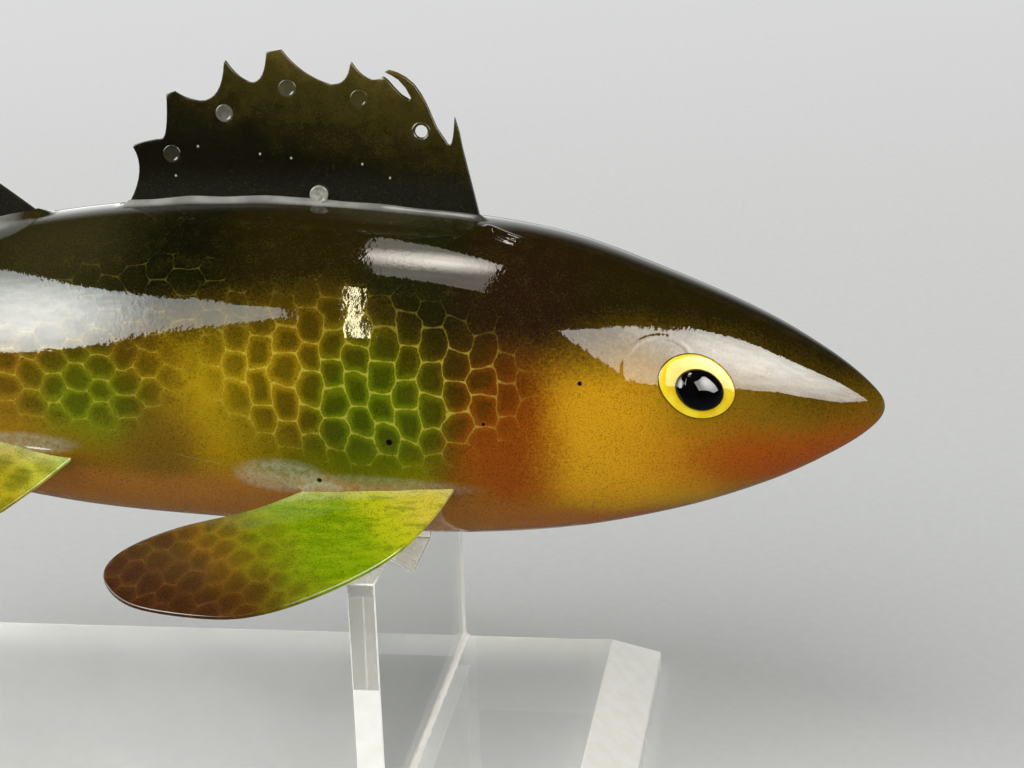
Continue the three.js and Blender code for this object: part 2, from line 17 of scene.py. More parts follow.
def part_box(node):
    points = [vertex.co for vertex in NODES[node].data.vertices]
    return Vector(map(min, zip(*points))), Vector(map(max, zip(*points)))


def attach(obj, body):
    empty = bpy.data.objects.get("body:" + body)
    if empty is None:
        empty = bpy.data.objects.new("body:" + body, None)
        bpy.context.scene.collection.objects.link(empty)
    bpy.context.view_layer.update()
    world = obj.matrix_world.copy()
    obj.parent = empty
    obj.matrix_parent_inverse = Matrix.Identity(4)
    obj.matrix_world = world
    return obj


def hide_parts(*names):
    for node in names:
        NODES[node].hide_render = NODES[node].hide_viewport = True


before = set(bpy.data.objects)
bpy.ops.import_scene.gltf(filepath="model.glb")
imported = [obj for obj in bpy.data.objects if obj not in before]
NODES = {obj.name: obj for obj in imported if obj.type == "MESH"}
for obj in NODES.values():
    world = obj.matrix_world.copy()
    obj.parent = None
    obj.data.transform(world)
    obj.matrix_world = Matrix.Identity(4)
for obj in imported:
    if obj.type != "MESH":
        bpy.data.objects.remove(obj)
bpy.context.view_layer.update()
MM = 0.001

# %% [markdown]
# ## Camera
# The photograph was taken from a little above, close by, with a long lens, and the tail is outside its left
# edge. The camera's place and three directions were worked out from the stand's straight edges.

# %% Camera
CAMERA_PLACE = Vector((0.1271, -0.3853, 0.2021))
CAMERA_RIGHT = Vector((0.9892, 0.1427, -0.0338))
CAMERA_DOWN = Vector((0.0115, -0.3054, -0.9522))
SENSOR_WIDTH = 36.0
FOCAL_PIXELS = 2278.0
PICTURE_WIDTH = 1024


def make_camera():
    data = bpy.data.cameras.new("close_up")
    data.sensor_width = SENSOR_WIDTH
    data.lens = FOCAL_PIXELS * SENSOR_WIDTH / PICTURE_WIDTH
    data.clip_start = 0.01
    data.clip_end = 30
    camera = bpy.data.objects.new("close_up", data)
    right = CAMERA_RIGHT.normalized()
    back = right.cross(-CAMERA_DOWN).normalized()
    turn = Matrix((right, back.cross(right), back)).transposed()
    camera.matrix_world = Matrix.Translation(CAMERA_PLACE) @ turn.to_4x4()
    bpy.context.scene.collection.objects.link(camera)
    bpy.context.scene.camera = camera
    return camera


camera = make_camera()
print("lens", round(camera.data.lens, 2), "mm")

# %% [markdown]
# ## Helpers for materials
# Paint makers name colours in sRGB hex, and Blender mixes light in linear values, so one function turns the
# first into the second. Another fills a node's sockets, those in use in their order or others by name, and
# a value that is itself a socket is linked. The last adds a node with its settings and fills it.


# %% Colour and node helpers
def linear(code, alpha=1.0):
    channels = [int(code[i:i + 2], 16) / 255 for i in (1, 3, 5)]
    turned = [c / 12.92 if c <= 0.04045 else ((c + 0.055) / 1.055) ** 2.4 for c in channels]
    return (*turned, alpha)


def fill(node, *values, **named):
    in_use = [socket for socket in node.inputs if socket.enabled]
    pairs = list(zip(in_use, values))
    pairs += [(node.inputs[name.replace("_", " ")], value) for name, value in named.items()]
    for socket, value in pairs:
        if isinstance(value, bpy.types.NodeSocket):
            node.id_data.links.new(value, socket)
        else:
            socket.default_value = value


def add(tree, kind, settings, *values, **named):
    made = tree.nodes.new("ShaderNode" + kind)
    for name, value in settings.items():
        setattr(made, name, value)
    fill(made, *values, **named)
    return next((socket for socket in made.outputs if socket.enabled), None)


COLOURS = {"data_type": "RGBA"}
SOFTLY = {"interpolation_type": "SMOOTHSTEP"}
PLUS, MINUS, TIMES, OVER = ({"operation": word} for word in ("ADD", "SUBTRACT", "MULTIPLY", "DIVIDE"))
LARGER, SMALLER, SIZE = ({"operation": word} for word in ("MAXIMUM", "MINIMUM", "ABSOLUTE"))
LENGTH, PART = ({"operation": word} for word in ("LENGTH", "FRACTION"))


def new_material(name, **values):
    material = bpy.data.materials.new(name)
    material.use_nodes = True
    shader = material.node_tree.nodes["Principled BSDF"]
    fill(shader, **values)
    return material, material.node_tree, shader


print("red lead", [round(c, 3) for c in linear("#c0392b")])

# %% [markdown]
# ## Places on the paint
# Airbrushed paint is laid out on the fish itself: so far behind the nose, so far up the side. Each painted
# piece keeps such a map in millimetres, stored as hundredths, and the materials read it.

# %% Places in a material
MAP_STEP = 100.0


def map_place(tree):
    return add(tree, "VectorMath", TIMES, add(tree, "UVMap", {"uv_map": "paint_map"}), (MAP_STEP, MAP_STEP, 0))


def solid_place(tree):
    """The point in the object itself, in millimetres, so that the two sides differ."""
    spot = add(tree, "TexCoord", {}).node.outputs["Object"]
    return add(tree, "VectorMath", TIMES, spot, (1 / MM, 1 / MM, 1 / MM))


def wandering(tree, place, solid, size, reach):
    """The place, shifted by slow noise, as a hand-held airbrush wanders."""
    drift = add(tree, "TexNoise", {}, Vector=solid, Scale=1 / size, Detail=2.0).node.outputs["Color"]
    shift = add(tree, "VectorMath", MINUS, drift, (0.5, 0.5, 0.5))
    return add(tree, "VectorMath", PLUS, place, add(tree, "VectorMath", TIMES, shift, (*reach, 0)))


def spot_mask(tree, place, centre, radii, soft, strength=1.0):
    """Full inside an airbrushed oval, falling softly to nothing round its edge."""
    offset = add(tree, "VectorMath", MINUS, place, (*centre, 0))
    reach = add(tree, "VectorMath", LENGTH, add(tree, "VectorMath", OVER, offset, (*radii, 1)))
    return add(tree, "MapRange", SOFTLY, reach, 1 + soft, 1 - soft, 0.0, strength)


# %% Coats and ovals of paint
def coats(tree, colour, *layers):
    """Each coat covers the last as its measure goes from start to full, and as far as its masks let it."""
    for code, measure, start, full, strength, *masks in layers:
        cover = add(tree, "MapRange", SOFTLY, measure, start, full, 0, strength)
        for mask in masks:
            cover = add(tree, "Math", TIMES, cover, mask)
        colour = add(tree, "Mix", COLOURS, cover, colour, linear(code))
    return colour


def ovals(tree, colour, place, spots):
    """Airbrushed ovals, one over the other: hex, centre, radii, softness and strength of each."""
    for code, centre, radii, soft, strength in spots:
        mask = spot_mask(tree, place, centre, radii, soft, strength)
        colour = add(tree, "Mix", COLOURS, mask, colour, linear(code))
    return colour


# %% [markdown]
# ## The fish's form
# The body is a hand-carved loft: an oval section that swells and narrows along the fish. The construction
# model holds it with flat facets, which gloss lacquer would show, so the same form is lofted again with
# many more rings and sides. It could be a subdivision surface, but that would pull the form inwards.

# %% Form along the fish
BODY_HEIGHT = 58.5
BODY_WIDTH = 46.7
BACK_POWER = 2.1
BELLY_POWER = 2.4
BACK_FORM = [0, 0.068, 0.166, 0.285, 0.41, 0.537, 0.602, 0.634, 0.597, 0.465, 0.263]
BELLY_FORM = [0, 0.063, 0.14, 0.231, 0.316, 0.379, 0.397, 0.366, 0.316, 0.186, 0.027]
BREADTH_FORM = [0, 0.133, 0.308, 0.518, 0.728, 0.912, 0.998, 1, 0.916, 0.642, 0.197]

nose = max((v.co for v in NODES["body"].data.vertices), key=lambda co: co.x)
NOSE_X = nose.x / MM
NOSE_Z = nose.z / MM
BODY_LENGTH = NOSE_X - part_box("body")[0].x / MM


def eased(before, first, second, after, f):
    """The share f of the way from first to second, on the smooth curve through all four."""
    slope_in, slope_out = (second - before) / 2, (after - first) / 2
    left = (2 * f**3 - 3 * f**2 + 1) * first + (f**3 - 2 * f**2 + f) * slope_in
    return left + (3 * f**2 - 2 * f**3) * second + (f**3 - f**2) * slope_out


def form_at(form, share):
    place = min(max(share, 0.0), 1.0) * (len(form) - 1)
    i = min(int(place), len(form) - 2)
    before = form[i - 1] if i > 0 else 2 * form[0] - form[1]
    after = form[i + 2] if i + 2 < len(form) else 2 * form[i + 1] - form[i]
    return eased(before, form[i], form[i + 1], after, place - i)


def section_at(x):
    """Middle level, half height and half width of the body at a place along it, in millimetres."""
    share = math.sqrt(min(max((NOSE_X - x) / BODY_LENGTH, 0.0), 1.0))
    back = form_at(BACK_FORM, share) * BODY_HEIGHT
    belly = form_at(BELLY_FORM, share) * BODY_HEIGHT
    return NOSE_Z + (back - belly) / 2, (back + belly) / 2, form_at(BREADTH_FORM, share) * BODY_WIDTH / 2


def back_at(x):
    middle, half_height, _ = section_at(x)
    return middle + half_height


def side_at(x, z):
    middle, half_height, half_width = section_at(x)
    power = BACK_POWER if z > middle else BELLY_POWER
    left = 1 - min(abs(z - middle) / half_height, 1) ** power
    return half_width * left ** (1 / power)


print("nose", round(NOSE_X, 1), round(NOSE_Z, 1), "body", round(BODY_LENGTH, 1), "mm long")

# %% [markdown]
# ## Where the fins meet the wood
# Each fin's root is marked from the nose, as on a maker's pattern, in millimetres. A side fin's sheet lies in
# a plane, whose direction is read from its node's largest face, and its root starts on the wood where the
# plane meets it.

# %% Fin places
SHEET = 0.9
PECTORAL = {"node": "pectoral_fin", "from_nose": 73.5, "drop": 9, "length": 58.4, "reach": 31.7,
            "root": 26.9, "tilt": 2.7, "sweep": 0.0}
PELVIC = {"node": "pelvic_fin", "from_nose": 141.8, "drop": 4.6, "length": 52, "reach": 31,
          "root": 22, "tilt": -5, "sweep": 0.42}
DORSAL_FRONT = NOSE_X - 70.7
DORSAL_REAR = DORSAL_FRONT - 63.7
SECOND_FRONT = NOSE_X - 151
SECOND_REAR = SECOND_FRONT - 43
WRIST_X = NOSE_X - BODY_LENGTH
TAIL_LENGTH = 35.5
TAIL_HEIGHT = 56
SIDES = {-1: "right", 1: "left"}


def fin_frame(fin, side):
    """Matrix of a side fin in millimetres: X back along the root, Y outwards, Z through the sheet."""
    faces = NODES[fin["node"] + "_" + SIDES[side]].data.polygons
    through = max(faces, key=lambda face: face.area).normal.copy()
    tilt = math.radians(fin["tilt"])
    back = Vector((-math.cos(tilt), 0, -math.sin(tilt)))
    out = through.cross(back).normalized()
    if out.y * side < 0:
        out.negate()
    through = back.cross(out).normalized()
    x = NOSE_X - fin["from_nose"]
    z = NOSE_Z - fin["drop"]
    matrix = Matrix((back, out, through)).transposed().to_4x4()
    matrix.translation = Vector((x, side * side_at(x, z), z))
    return matrix


for fin in (PECTORAL, PELVIC):
    outward = fin_frame(fin, -1).col[1]
    print(fin["node"], "droops", round(math.degrees(math.asin(-outward.z)), 1), "degrees")

# %% [markdown]
# ## The body's mesh
# Rings stand closer at the nose and wherever a fin is let in, and the sides are closer along the back's
# middle and along the side fins' roots. Epoxy climbs each fin a little, as a hollow fillet, so the skin is
# lifted there. The knife's slow unevenness is a fiftieth of a millimetre of noise.


# %% Where the rings and sides stand
def steps(low, high, step_at):
    places = [low]
    while places[-1] < high:
        places.append(places[-1] + step_at(places[-1]))
    scale = (high - low) / (places[-1] - low)
    return [low + (p - low) * scale for p in places]


WIDEST_RING_STEP = 1.25
FINE_RINGS = [(58, 76, 0.5), (92, 111, 0.7), (28, 35, 0.7), (-1.5, 0.5, 0.5), (-65, -58, 0.8),
              (-98, -90, 0.6)]
SIDE_STEP = 2.4
FINE_SIDES = [(65, 90, 0.9), (-46, -12, 1.2)]


def finer(place, step, fine_parts):
    """The step at a place, which is shorter inside the parts given as low, high and their own step."""
    return min([step] + [fine for low, high, fine in fine_parts if low < place < high])


def ring_step(from_nose):
    step = min(0.05 + 0.33 * math.sqrt(from_nose), WIDEST_RING_STEP)
    return finer(NOSE_X - from_nose, step, FINE_RINGS)


def side_step(angle):
    return finer(angle, SIDE_STEP, FINE_SIDES)


ring_places = [NOSE_X - d for d in steps(0.03, BODY_LENGTH, ring_step)]
half_round = steps(-90, 90, side_step)
round_angles = half_round + [180 - a for a in reversed(half_round[1:-1])]
print(len(ring_places), "rings of", len(round_angles), "sides")

# %% Epoxy fillets that lift the skin
FILLET_RISE = 0.95
FILLET_WIDTH = 1.9
BACK_FILLETS = ((DORSAL_REAR, DORSAL_FRONT, 1.0, 0.22), (SECOND_REAR, SECOND_FRONT, 1.2, 0.0))
SLIMMER_FROM = 34
SLIMMER_RUN = 10
ROOT_FILLET_RISE = 0.8
ROOT_FILLET_WIDTH = 2.4
SMEAR_RISE = 0.28


def climb(distance, rise, width):
    """Hollow fillet: full at the sheet, nothing at its width."""
    left = min(max(1 - distance / width, 0.0), 1.0)
    return rise * left * left


def beyond(value, low, high):
    return max(low - value, value - high, 0.0)


def back_fillet(x, y):
    """The back fins' fillets. The dorsal fin's grows slimmer towards its front."""
    off_sheet = max(abs(y) - SHEET / 2, 0.0)
    rise = 0.0
    for low, high, tall, slimmer in BACK_FILLETS:
        apart = math.hypot(off_sheet, beyond(x, low, high))
        lumps = 1 + 0.3 * noise.noise(Vector((x / 7.0, 4.0, tall)))
        lumps *= 1 - slimmer * min(max((x - high + SLIMMER_FROM) / SLIMMER_RUN, 0.0), 1.0)
        rise = max(rise, climb(apart, FILLET_RISE * tall * lumps, FILLET_WIDTH * tall * lumps))
    return rise


CREASE_REAR, CREASE_FRONT = (64.6, -4.4), (70.6, -6.7)
CREASE_REACH = (60, 74)
CREASE_DEPTH, CREASE_HALF = 0.6, 0.42
BEAD_RISE, BEAD_AWAY, BEAD_HALF = 0.3, 0.95, 0.4
RUN_RISE, RUN_HALF, RUN_FADE = 0.16, 2.2, 1.6
RUN_REACH = (63, 68)


def epoxy_crease(x, y):
    """Epoxy ran down in front of the dorsal fin and set with a short open crease in it."""
    (rear_x, rear_y), (front_x, front_y) = CREASE_REAR, CREASE_FRONT
    place = min(max((x - rear_x) / (front_x - rear_x), 0.0), 1.0)
    middle = rear_y + (front_y - rear_y) * math.sin(place * math.pi / 2)
    off = math.hypot(y - middle, beyond(x, rear_x + 0.8, front_x - 0.6))
    bead = BEAD_RISE * math.exp(-(((off - BEAD_AWAY) / BEAD_HALF) ** 2))
    run = RUN_RISE * math.exp(-(((y - middle) / RUN_HALF) ** 2) - (beyond(x, *RUN_REACH) / RUN_FADE) ** 2)
    return run + bead - CREASE_DEPTH * math.exp(-((off / CREASE_HALF) ** 2))


SLOW_KNIFE = 0.018
QUICK_KNIFE = 0.006


def carve(x, y, z):
    """The knife's slow unevenness, which fades out at the nose."""
    slow = noise.noise(Vector((x / 26, y / 16, z / 16)))
    quick = noise.noise(Vector((x / 8 + 9, y / 7, z / 7)))
    return (SLOW_KNIFE * slow + QUICK_KNIFE * quick) * min(1.0, (NOSE_X - x) / 10)


def root_fillet(x, z):
    """The side fins' fillets follow the root's line on the wood, above and below the sheet."""
    lift = 0.0
    for fin in (PECTORAL, PELVIC):
        front = NOSE_X - fin["from_nose"]
        rear = front - fin["root"]
        along = min(max(x, rear), front)
        root_z = NOSE_Z - fin["drop"] - (front - along) * math.tan(math.radians(fin["tilt"]))
        apart = math.hypot(beyond(x, rear, front), max(abs(z - root_z) - SHEET / 2, 0))
        lumps = 1 + 0.3 * noise.noise(Vector((x / 4.0, z / 4.0, 2.0)))
        lift = max(lift, climb(apart, ROOT_FILLET_RISE * lumps, ROOT_FILLET_WIDTH * lumps))
        smear = math.hypot(beyond(x, rear - 11, front - 4) * 0.5, z - root_z - 0.8)
        lift = max(lift, SMEAR_RISE * math.exp(-((smear / ROOT_FILLET_WIDTH) ** 4)))
    return lift


# %% Points of the skin
ARC_STEPS = 64


def arc_table(power, half_height, half_width):
    """Lengths along a quarter of the section, from its widest line upwards."""
    lengths = [0.0]
    last = (half_width, 0.0)
    for i in range(1, ARC_STEPS + 1):
        share = math.sin(math.pi / 2 * i / ARC_STEPS)
        here = (half_width * max(1 - share**power, 0) ** (1 / power), half_height * share)
        lengths.append(lengths[-1] + math.dist(here, last))
        last = here
    return lengths


def section_point(angle, middle, half_height, half_width, tables):
    c, s = math.cos(math.radians(angle)), math.sin(math.radians(angle))
    power = BACK_POWER if s > 0 else BELLY_POWER
    y = half_width * math.copysign(abs(c) ** (2 / power), c)
    up = half_height * math.copysign(abs(s) ** (2 / power), s)
    place = math.asin(min(abs(up) / half_height, 1.0)) / (math.pi / 2) * ARC_STEPS
    i = min(int(place), ARC_STEPS - 1)
    table = tables[s > 0]
    arc = table[i] + (table[i + 1] - table[i]) * (place - i)
    return y, middle + up, math.copysign(arc, s)


def skin_point(x, angle, section, tables):
    middle, half_height, half_width = section
    y, z, arc = section_point(angle, middle, half_height, half_width, tables)
    slope = Vector((0, y / max(half_width, 0.1) ** 2, (z - middle) / max(half_height, 0.1) ** 2))
    outward = slope.normalized()
    spot = Vector((x, y, z)) + outward * carve(x, y, z)
    if z > middle:
        spot.z += back_fillet(x, y)
        if CREASE_REACH[0] < x < CREASE_REACH[1] and y < 0:
            spot += outward * epoxy_crease(x, y)
    else:
        spot.y += math.copysign(root_fillet(x, z), y)
    return spot * MM, arc


# %% Rings to a mesh
def middle_of(mesh, ring, placed):
    """One point in a ring's middle, taken as a ring of its own, so that a fan of triangles closes it."""
    middle = mesh.verts.new(sum((v.co for v in ring), Vector()) / len(ring))
    placed[middle] = placed[ring[0]]
    return [middle]


def bridge(mesh, rings):
    """Faces from each ring to the next. A ring of one point makes a fan."""
    for ring, after in zip(rings, rings[1:]):
        count = max(len(ring), len(after))
        for i in range(count):
            j = (i + 1) % count
            corners = [ring[i % len(ring)], after[i % len(after)], after[j % len(after)], ring[j % len(ring)]]
            corners = list(dict.fromkeys(corners))
            if len(corners) > 2:
                mesh.faces.new(corners)


def finish_mesh(mesh, placed):
    """Outward faces, smooth shading, and the paint map from each vertex's place, where it has one."""
    layer = mesh.loops.layers.uv.new("paint_map")
    bmesh.ops.recalc_face_normals(mesh, faces=mesh.faces)
    for face in mesh.faces:
        face.smooth = True
        for loop in face.loops:
            loop[layer].uv = placed.get(loop.vert, (0, 0))
    return mesh


def piece_from(mesh, name, materials, slot, *stands_for):
    """An object that rides on the part's one body, and stands for the nodes that it is given."""
    data = bpy.data.meshes.new(name)
    mesh.to_mesh(data)
    mesh.free()
    made = bpy.data.objects.new(name, data)
    bpy.context.scene.collection.objects.link(made)
    for material in materials:
        data.materials.append(material)
    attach(made, "root")
    if stands_for:
        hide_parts(*stands_for)
    return made


# %% Loft the body
def loft_body():
    mesh = bmesh.new()
    placed = {}
    rings = []
    for x in ring_places:
        section = section_at(x)
        tables = {True: arc_table(BACK_POWER, *section[1:]), False: arc_table(BELLY_POWER, *section[1:])}
        ring = []
        for angle in round_angles:
            spot, arc = skin_point(x, angle, section, tables)
            vertex = mesh.verts.new(spot)
            placed[vertex] = ((NOSE_X - x) / MAP_STEP, arc / MAP_STEP)
            ring.append(vertex)
        rings.append(ring)
    nose_end, wrist_end = middle_of(mesh, rings[0], placed), middle_of(mesh, rings[-1], placed)
    bridge(mesh, [nose_end, *rings, wrist_end])
    return finish_mesh(mesh, placed)


body_mesh = loft_body()
print("body faces", len(body_mesh.faces))

# %% [markdown]
# ## Paint on the body
# Basswood, sealed and sprayed with lacquer: a gold ground, then soft ovals of green, rust and umber, a dark
# olive back, and darker paint through stretched netting, which leaves the ground showing as thin lines.
# Paint under a clear coat has no gloss of its own, as the pigment is wetted out. Only the coat shines: its
# IOR is about 1.5, and it is almost mirror smooth, with a fine orange peel.

# %% Lacquer, and airbrushed colours: hex, place behind the nose and up the side, radii, softness, strength
# A centre at (150, 0) is 150 mm behind the nose, on the widest line of the side.
LACQUER = {"Roughness": 0.5, "IOR": 1.5, "Specular_IOR_Level": 0.0, "Coat_Weight": 1.0,
           "Coat_Roughness": 0.03, "Coat_IOR": 1.5}
GROUND_GOLD = "#92700f"
AIRBRUSH = [
    ("#7a5510", (150, 0), (24, 30), 0.5, 1.0),
    ("#cc951a", (47, -4), (22, 15), 0.5, 1.0),
    ("#a88a12", (113, 2), (11, 12), 0.6, 0.95),
    ("#93701a", (153, -2), (10, 11), 0.6, 0.8),
    ("#6c7c10", (137, -1), (10, 8), 0.7, 0.85),
    ("#6a5016", (126, -11), (7, 11), 0.7, 0.85),
    ("#5c420c", (74, -5), (6, 18), 0.6, 0.85),
    ("#626808", (87, -2), (10.8, 15), 0.5, 1.0),
    ("#53580a", (94, -10.5), (13, 5), 0.6, 0.85),
    ("#6e600c", (107, -4), (8, 6), 0.7, 0.5),
    ("#66820c", (87, -1), (8, 6), 0.9, 0.5),
    ("#8a440d", (64, -4), (8.5, 20), 0.6, 1.0),
    ("#9c480f", (17, -7), (19, 8), 0.7, 0.95),
    ("#7d6013", (21, 4), (17, 7), 0.6, 0.8),
]
BELLY_TAN = "#9a6226"
CHIN_ROSE = "#9c5224"
BACK_UMBER = "#221b06"
BACK_COLOURS = [
    # The first, lighter olive oval is olive paint with a painted sheen over it.
    ("#2e2b16", (142, 26), (14, 16), 0.7, 1.0),
    ("#0c0e05", (119, 22), (14, 18), 0.7, 1.0),
    ("#231b06", (100, 24), (11, 20), 0.7, 1.0),
    ("#191a08", (78, 22), (10, 18), 0.7, 1.0),
    ("#24150b", (61, 18), (11, 16), 0.7, 1.0),
]


def airbrushed(tree, wander):
    """The ground and its ovals, then the belly from below, then the dark back down to its uneven edge."""
    colour = ovals(tree, linear(GROUND_GOLD), wander, AIRBRUSH)
    back, up, _ = add(tree, "SeparateXYZ", {}, wander).node.outputs
    belly = coats(tree, linear(CHIN_ROSE), (BELLY_TAN, back, 40, 75, 1.0))
    low = add(tree, "Math", MINUS, up, add(tree, "MapRange", SOFTLY, back, 30, 90, 0.0, 6.0))
    low = add(tree, "MapRange", SOFTLY, low, -19.0, -24.5, 0, 0.85)
    colour = add(tree, "Mix", COLOURS, low, colour, belly)
    mottle = add(tree, "TexNoise", {}, Vector=wander, Scale=1 / 2.4, Detail=5.0, Roughness=0.65)
    dark = ovals(tree, linear(BACK_UMBER), wander, BACK_COLOURS)
    dark = coats(tree, dark, ("#54491c", mottle, 0.5, 0.75, 0.3))
    edge = add(tree, "Math", MINUS, up, add(tree, "MapRange", SOFTLY, back, 0, 36, 3.5, 13.5))
    edge = add(tree, "Math", PLUS, edge, spot_mask(tree, wander, (68, 12), (14, 14), 0.5, 4.0))
    edge = add(tree, "Math", MINUS, edge, spot_mask(tree, wander, (98, 17), (14, 14), 0.5, 3.0))
    return add(tree, "Mix", COLOURS, add(tree, "MapRange", SOFTLY, edge, -12.0, 6.5), colour, dark)


# %% [markdown]
# ## Scales
# Netting was stretched over the side and sprayed through, so each cell is darker than the thread's line
# round it. Near the gills the net was pulled tall, and its cells stand like bricks on end.

# %% Scales sprayed through netting: two columns' width and a cell's height, slant, centre, radii, strength
NETS = [
    ((8.5, 5.5), 0.25, (89.5, 5), (25.5, 14), 1.0),
    ((9.0, 4.7), 0.5, (141, 4), (19, 9), 0.85),
    ((9.2, 5.0), 0.45, (126, 17), (19, 7), 0.6),
]


def netting(tree, place, stretch, slant):
    """How near a place is to a thread of a six-sided net: 0 on the thread."""
    jitter = add(tree, "TexNoise", {}, Vector=place, Scale=1 / 8.0, Detail=1.0).node.outputs["Color"]
    shift = add(tree, "VectorMath", MINUS, jitter, (0.5, 0.5, 0.5))
    moved = add(tree, "VectorMath", PLUS, place, add(tree, "VectorMath", TIMES, shift, (3.4, 4.4, 0)))
    moved = wandering(tree, moved, place, 3.2, (1.5, 1.5))
    cells = add(tree, "VectorMath", OVER, moved, (*stretch, 1))
    nearest = 9.0
    for offset in (0.0, 0.5):
        part = add(tree, "VectorMath", PART, add(tree, "VectorMath", PLUS, cells, (offset, offset, 0)))
        centred = add(tree, "VectorMath", SIZE, add(tree, "VectorMath", MINUS, part, (0.5, 0.5, 0)))
        sized = add(tree, "VectorMath", TIMES, centred, (2 - slant, 1, 0))
        across, tall, _ = add(tree, "SeparateXYZ", {}, sized).node.outputs
        sloped = add(tree, "Math", PLUS, across, add(tree, "Math", TIMES, tall, slant))
        straight = add(tree, "Math", LARGER, tall, sloped)
        round_part = add(tree, "Math", TIMES, add(tree, "VectorMath", LENGTH, sized), 0.37)
        shape = add(tree, "Math", PLUS, add(tree, "Math", TIMES, straight, 0.6), round_part)
        nearest = add(tree, "Math", SMALLER, nearest, shape)
    return add(tree, "Math", MINUS, 0.5, nearest)


def scaled(tree, colour, place, wander):
    """The colour with its scales, fainter up the back, and how far the threads' lines stand out."""
    relief = 0.0
    up = add(tree, "SeparateXYZ", {}, place).node.outputs[1]
    fade = add(tree, "MapRange", SOFTLY, up, 6.0, 18.0, 1.0, 0.35)
    for stretch, slant, centre, radii, strength in NETS:
        thread = netting(tree, place, stretch, slant)
        shown = spot_mask(tree, wander, centre, radii, 0.32, strength)
        faint = add(tree, "Math", TIMES, shown, fade)
        colour = coats(tree, colour, ("#1e1d04", thread, 0.02, 0.28, 0.64, shown),
                       ("#cfbe48", thread, 0.05, 0.0, 0.52, faint))
        ridge = add(tree, "MapRange", SOFTLY, thread, 0.12, 0.0)
        relief = add(tree, "Math", PLUS, relief, add(tree, "Math", TIMES, ridge, faint))
    return colour, relief


# %% Overspray, flecks, epoxy smears and a painted sheen
FLECKS = [((84.3, -6.1), 0.55), ((67.9, -2.0), 0.3), ((51.5, 5.8), 0.4), ((97.3, -14.8), 0.45)]
SMEARS = [((104.2, -14.6), (7.5, 3.3), 0.46), ((86, -15.0), (15, 1.9), 0.24),
          ((97.0, -16.2), (3.5, 1.6), 0.5), ((152, -10.4), (10, 1.9), 0.38)]
# Grey epoxy with a painted sheen along the back fins' feet: rear end, front end, fade, width and strength.
EPOXY_AND_SHEEN_BANDS = [(DORSAL_REAR, DORSAL_FRONT + 6, 32, 2.6, 0.9), (SECOND_REAR, SECOND_FRONT - 3, 7, 6.5, 1.0)]


def speckled(tree, colour, solid, strength=0.5):
    """Airbrush spatter is about 0.3 mm, and lies over everything."""
    fine = add(tree, "TexNoise", {}, Vector=solid, Scale=1 / 0.27, Detail=3.0, Roughness=0.6)
    coarse = add(tree, "TexNoise", {}, Vector=solid, Scale=1 / 11.0)
    level = add(tree, "Math", PLUS, fine, add(tree, "Math", TIMES, coarse, 0.12))
    return coats(tree, colour, ("#1a1203", level, 0.55, 0.74, strength), ("#a89a4c", level, 0.52, 0.34, 0.05))


def smeared(tree, colour, place, solid):
    """Milky epoxy by the side fins, grey epoxy with a painted sheen along the back fins, and dark flecks over
    both.
    """
    cloud = add(tree, "TexNoise", {}, Vector=solid, Scale=1 / 0.9, Detail=5.0, Roughness=0.7)
    milky = add(tree, "MapRange", SOFTLY, cloud, 0.32, 0.7, 0.3, 1.3)
    for centre, radii, strength in SMEARS:
        mask = add(tree, "Math", TIMES, spot_mask(tree, place, centre, radii, 0.3, strength), milky)
        colour = add(tree, "Mix", COLOURS, mask, colour, linear("#a7ab9a"))
    along, across, _ = add(tree, "SeparateXYZ", {}, solid).node.outputs
    off = add(tree, "Math", SIZE, across)
    drift = add(tree, "TexNoise", {}, Vector=solid, Scale=1 / 5.0, Detail=2.0)
    veil = add(tree, "MapRange", SOFTLY, drift, 0.3, 0.7, 0.6, 1.0)
    # Grey epoxy bands, lightened further as a painted sheen.
    for low, high, fade, width, strength in EPOXY_AND_SHEEN_BANDS:
        ahead = add(tree, "MapRange", {}, along, high, high - fade)
        behind = add(tree, "MapRange", SOFTLY, along, low - 4, low - 1)
        colour = coats(tree, colour, ("#9c9c97", off, width, width * 0.45, strength, ahead, behind, veil))
    flecks = [("#0c0904", centre, (radius, radius), 0.25, 1.0) for centre, radius in FLECKS]
    return ovals(tree, colour, place, flecks)


# %% The clear coat's surface
def coat_bump(tree, shader, height, depth):
    """Orange peel: lumps of lacquer about a millimetre across that never quite flowed flat."""
    bump = add(tree, "Bump", {}, Strength=1.0, Distance=depth * MM, Height=height)
    fill(shader, Normal=bump, Coat_Normal=bump)


SAG_CENTRE = (38.3, 8.4)
SAG_RADIUS = 5.9


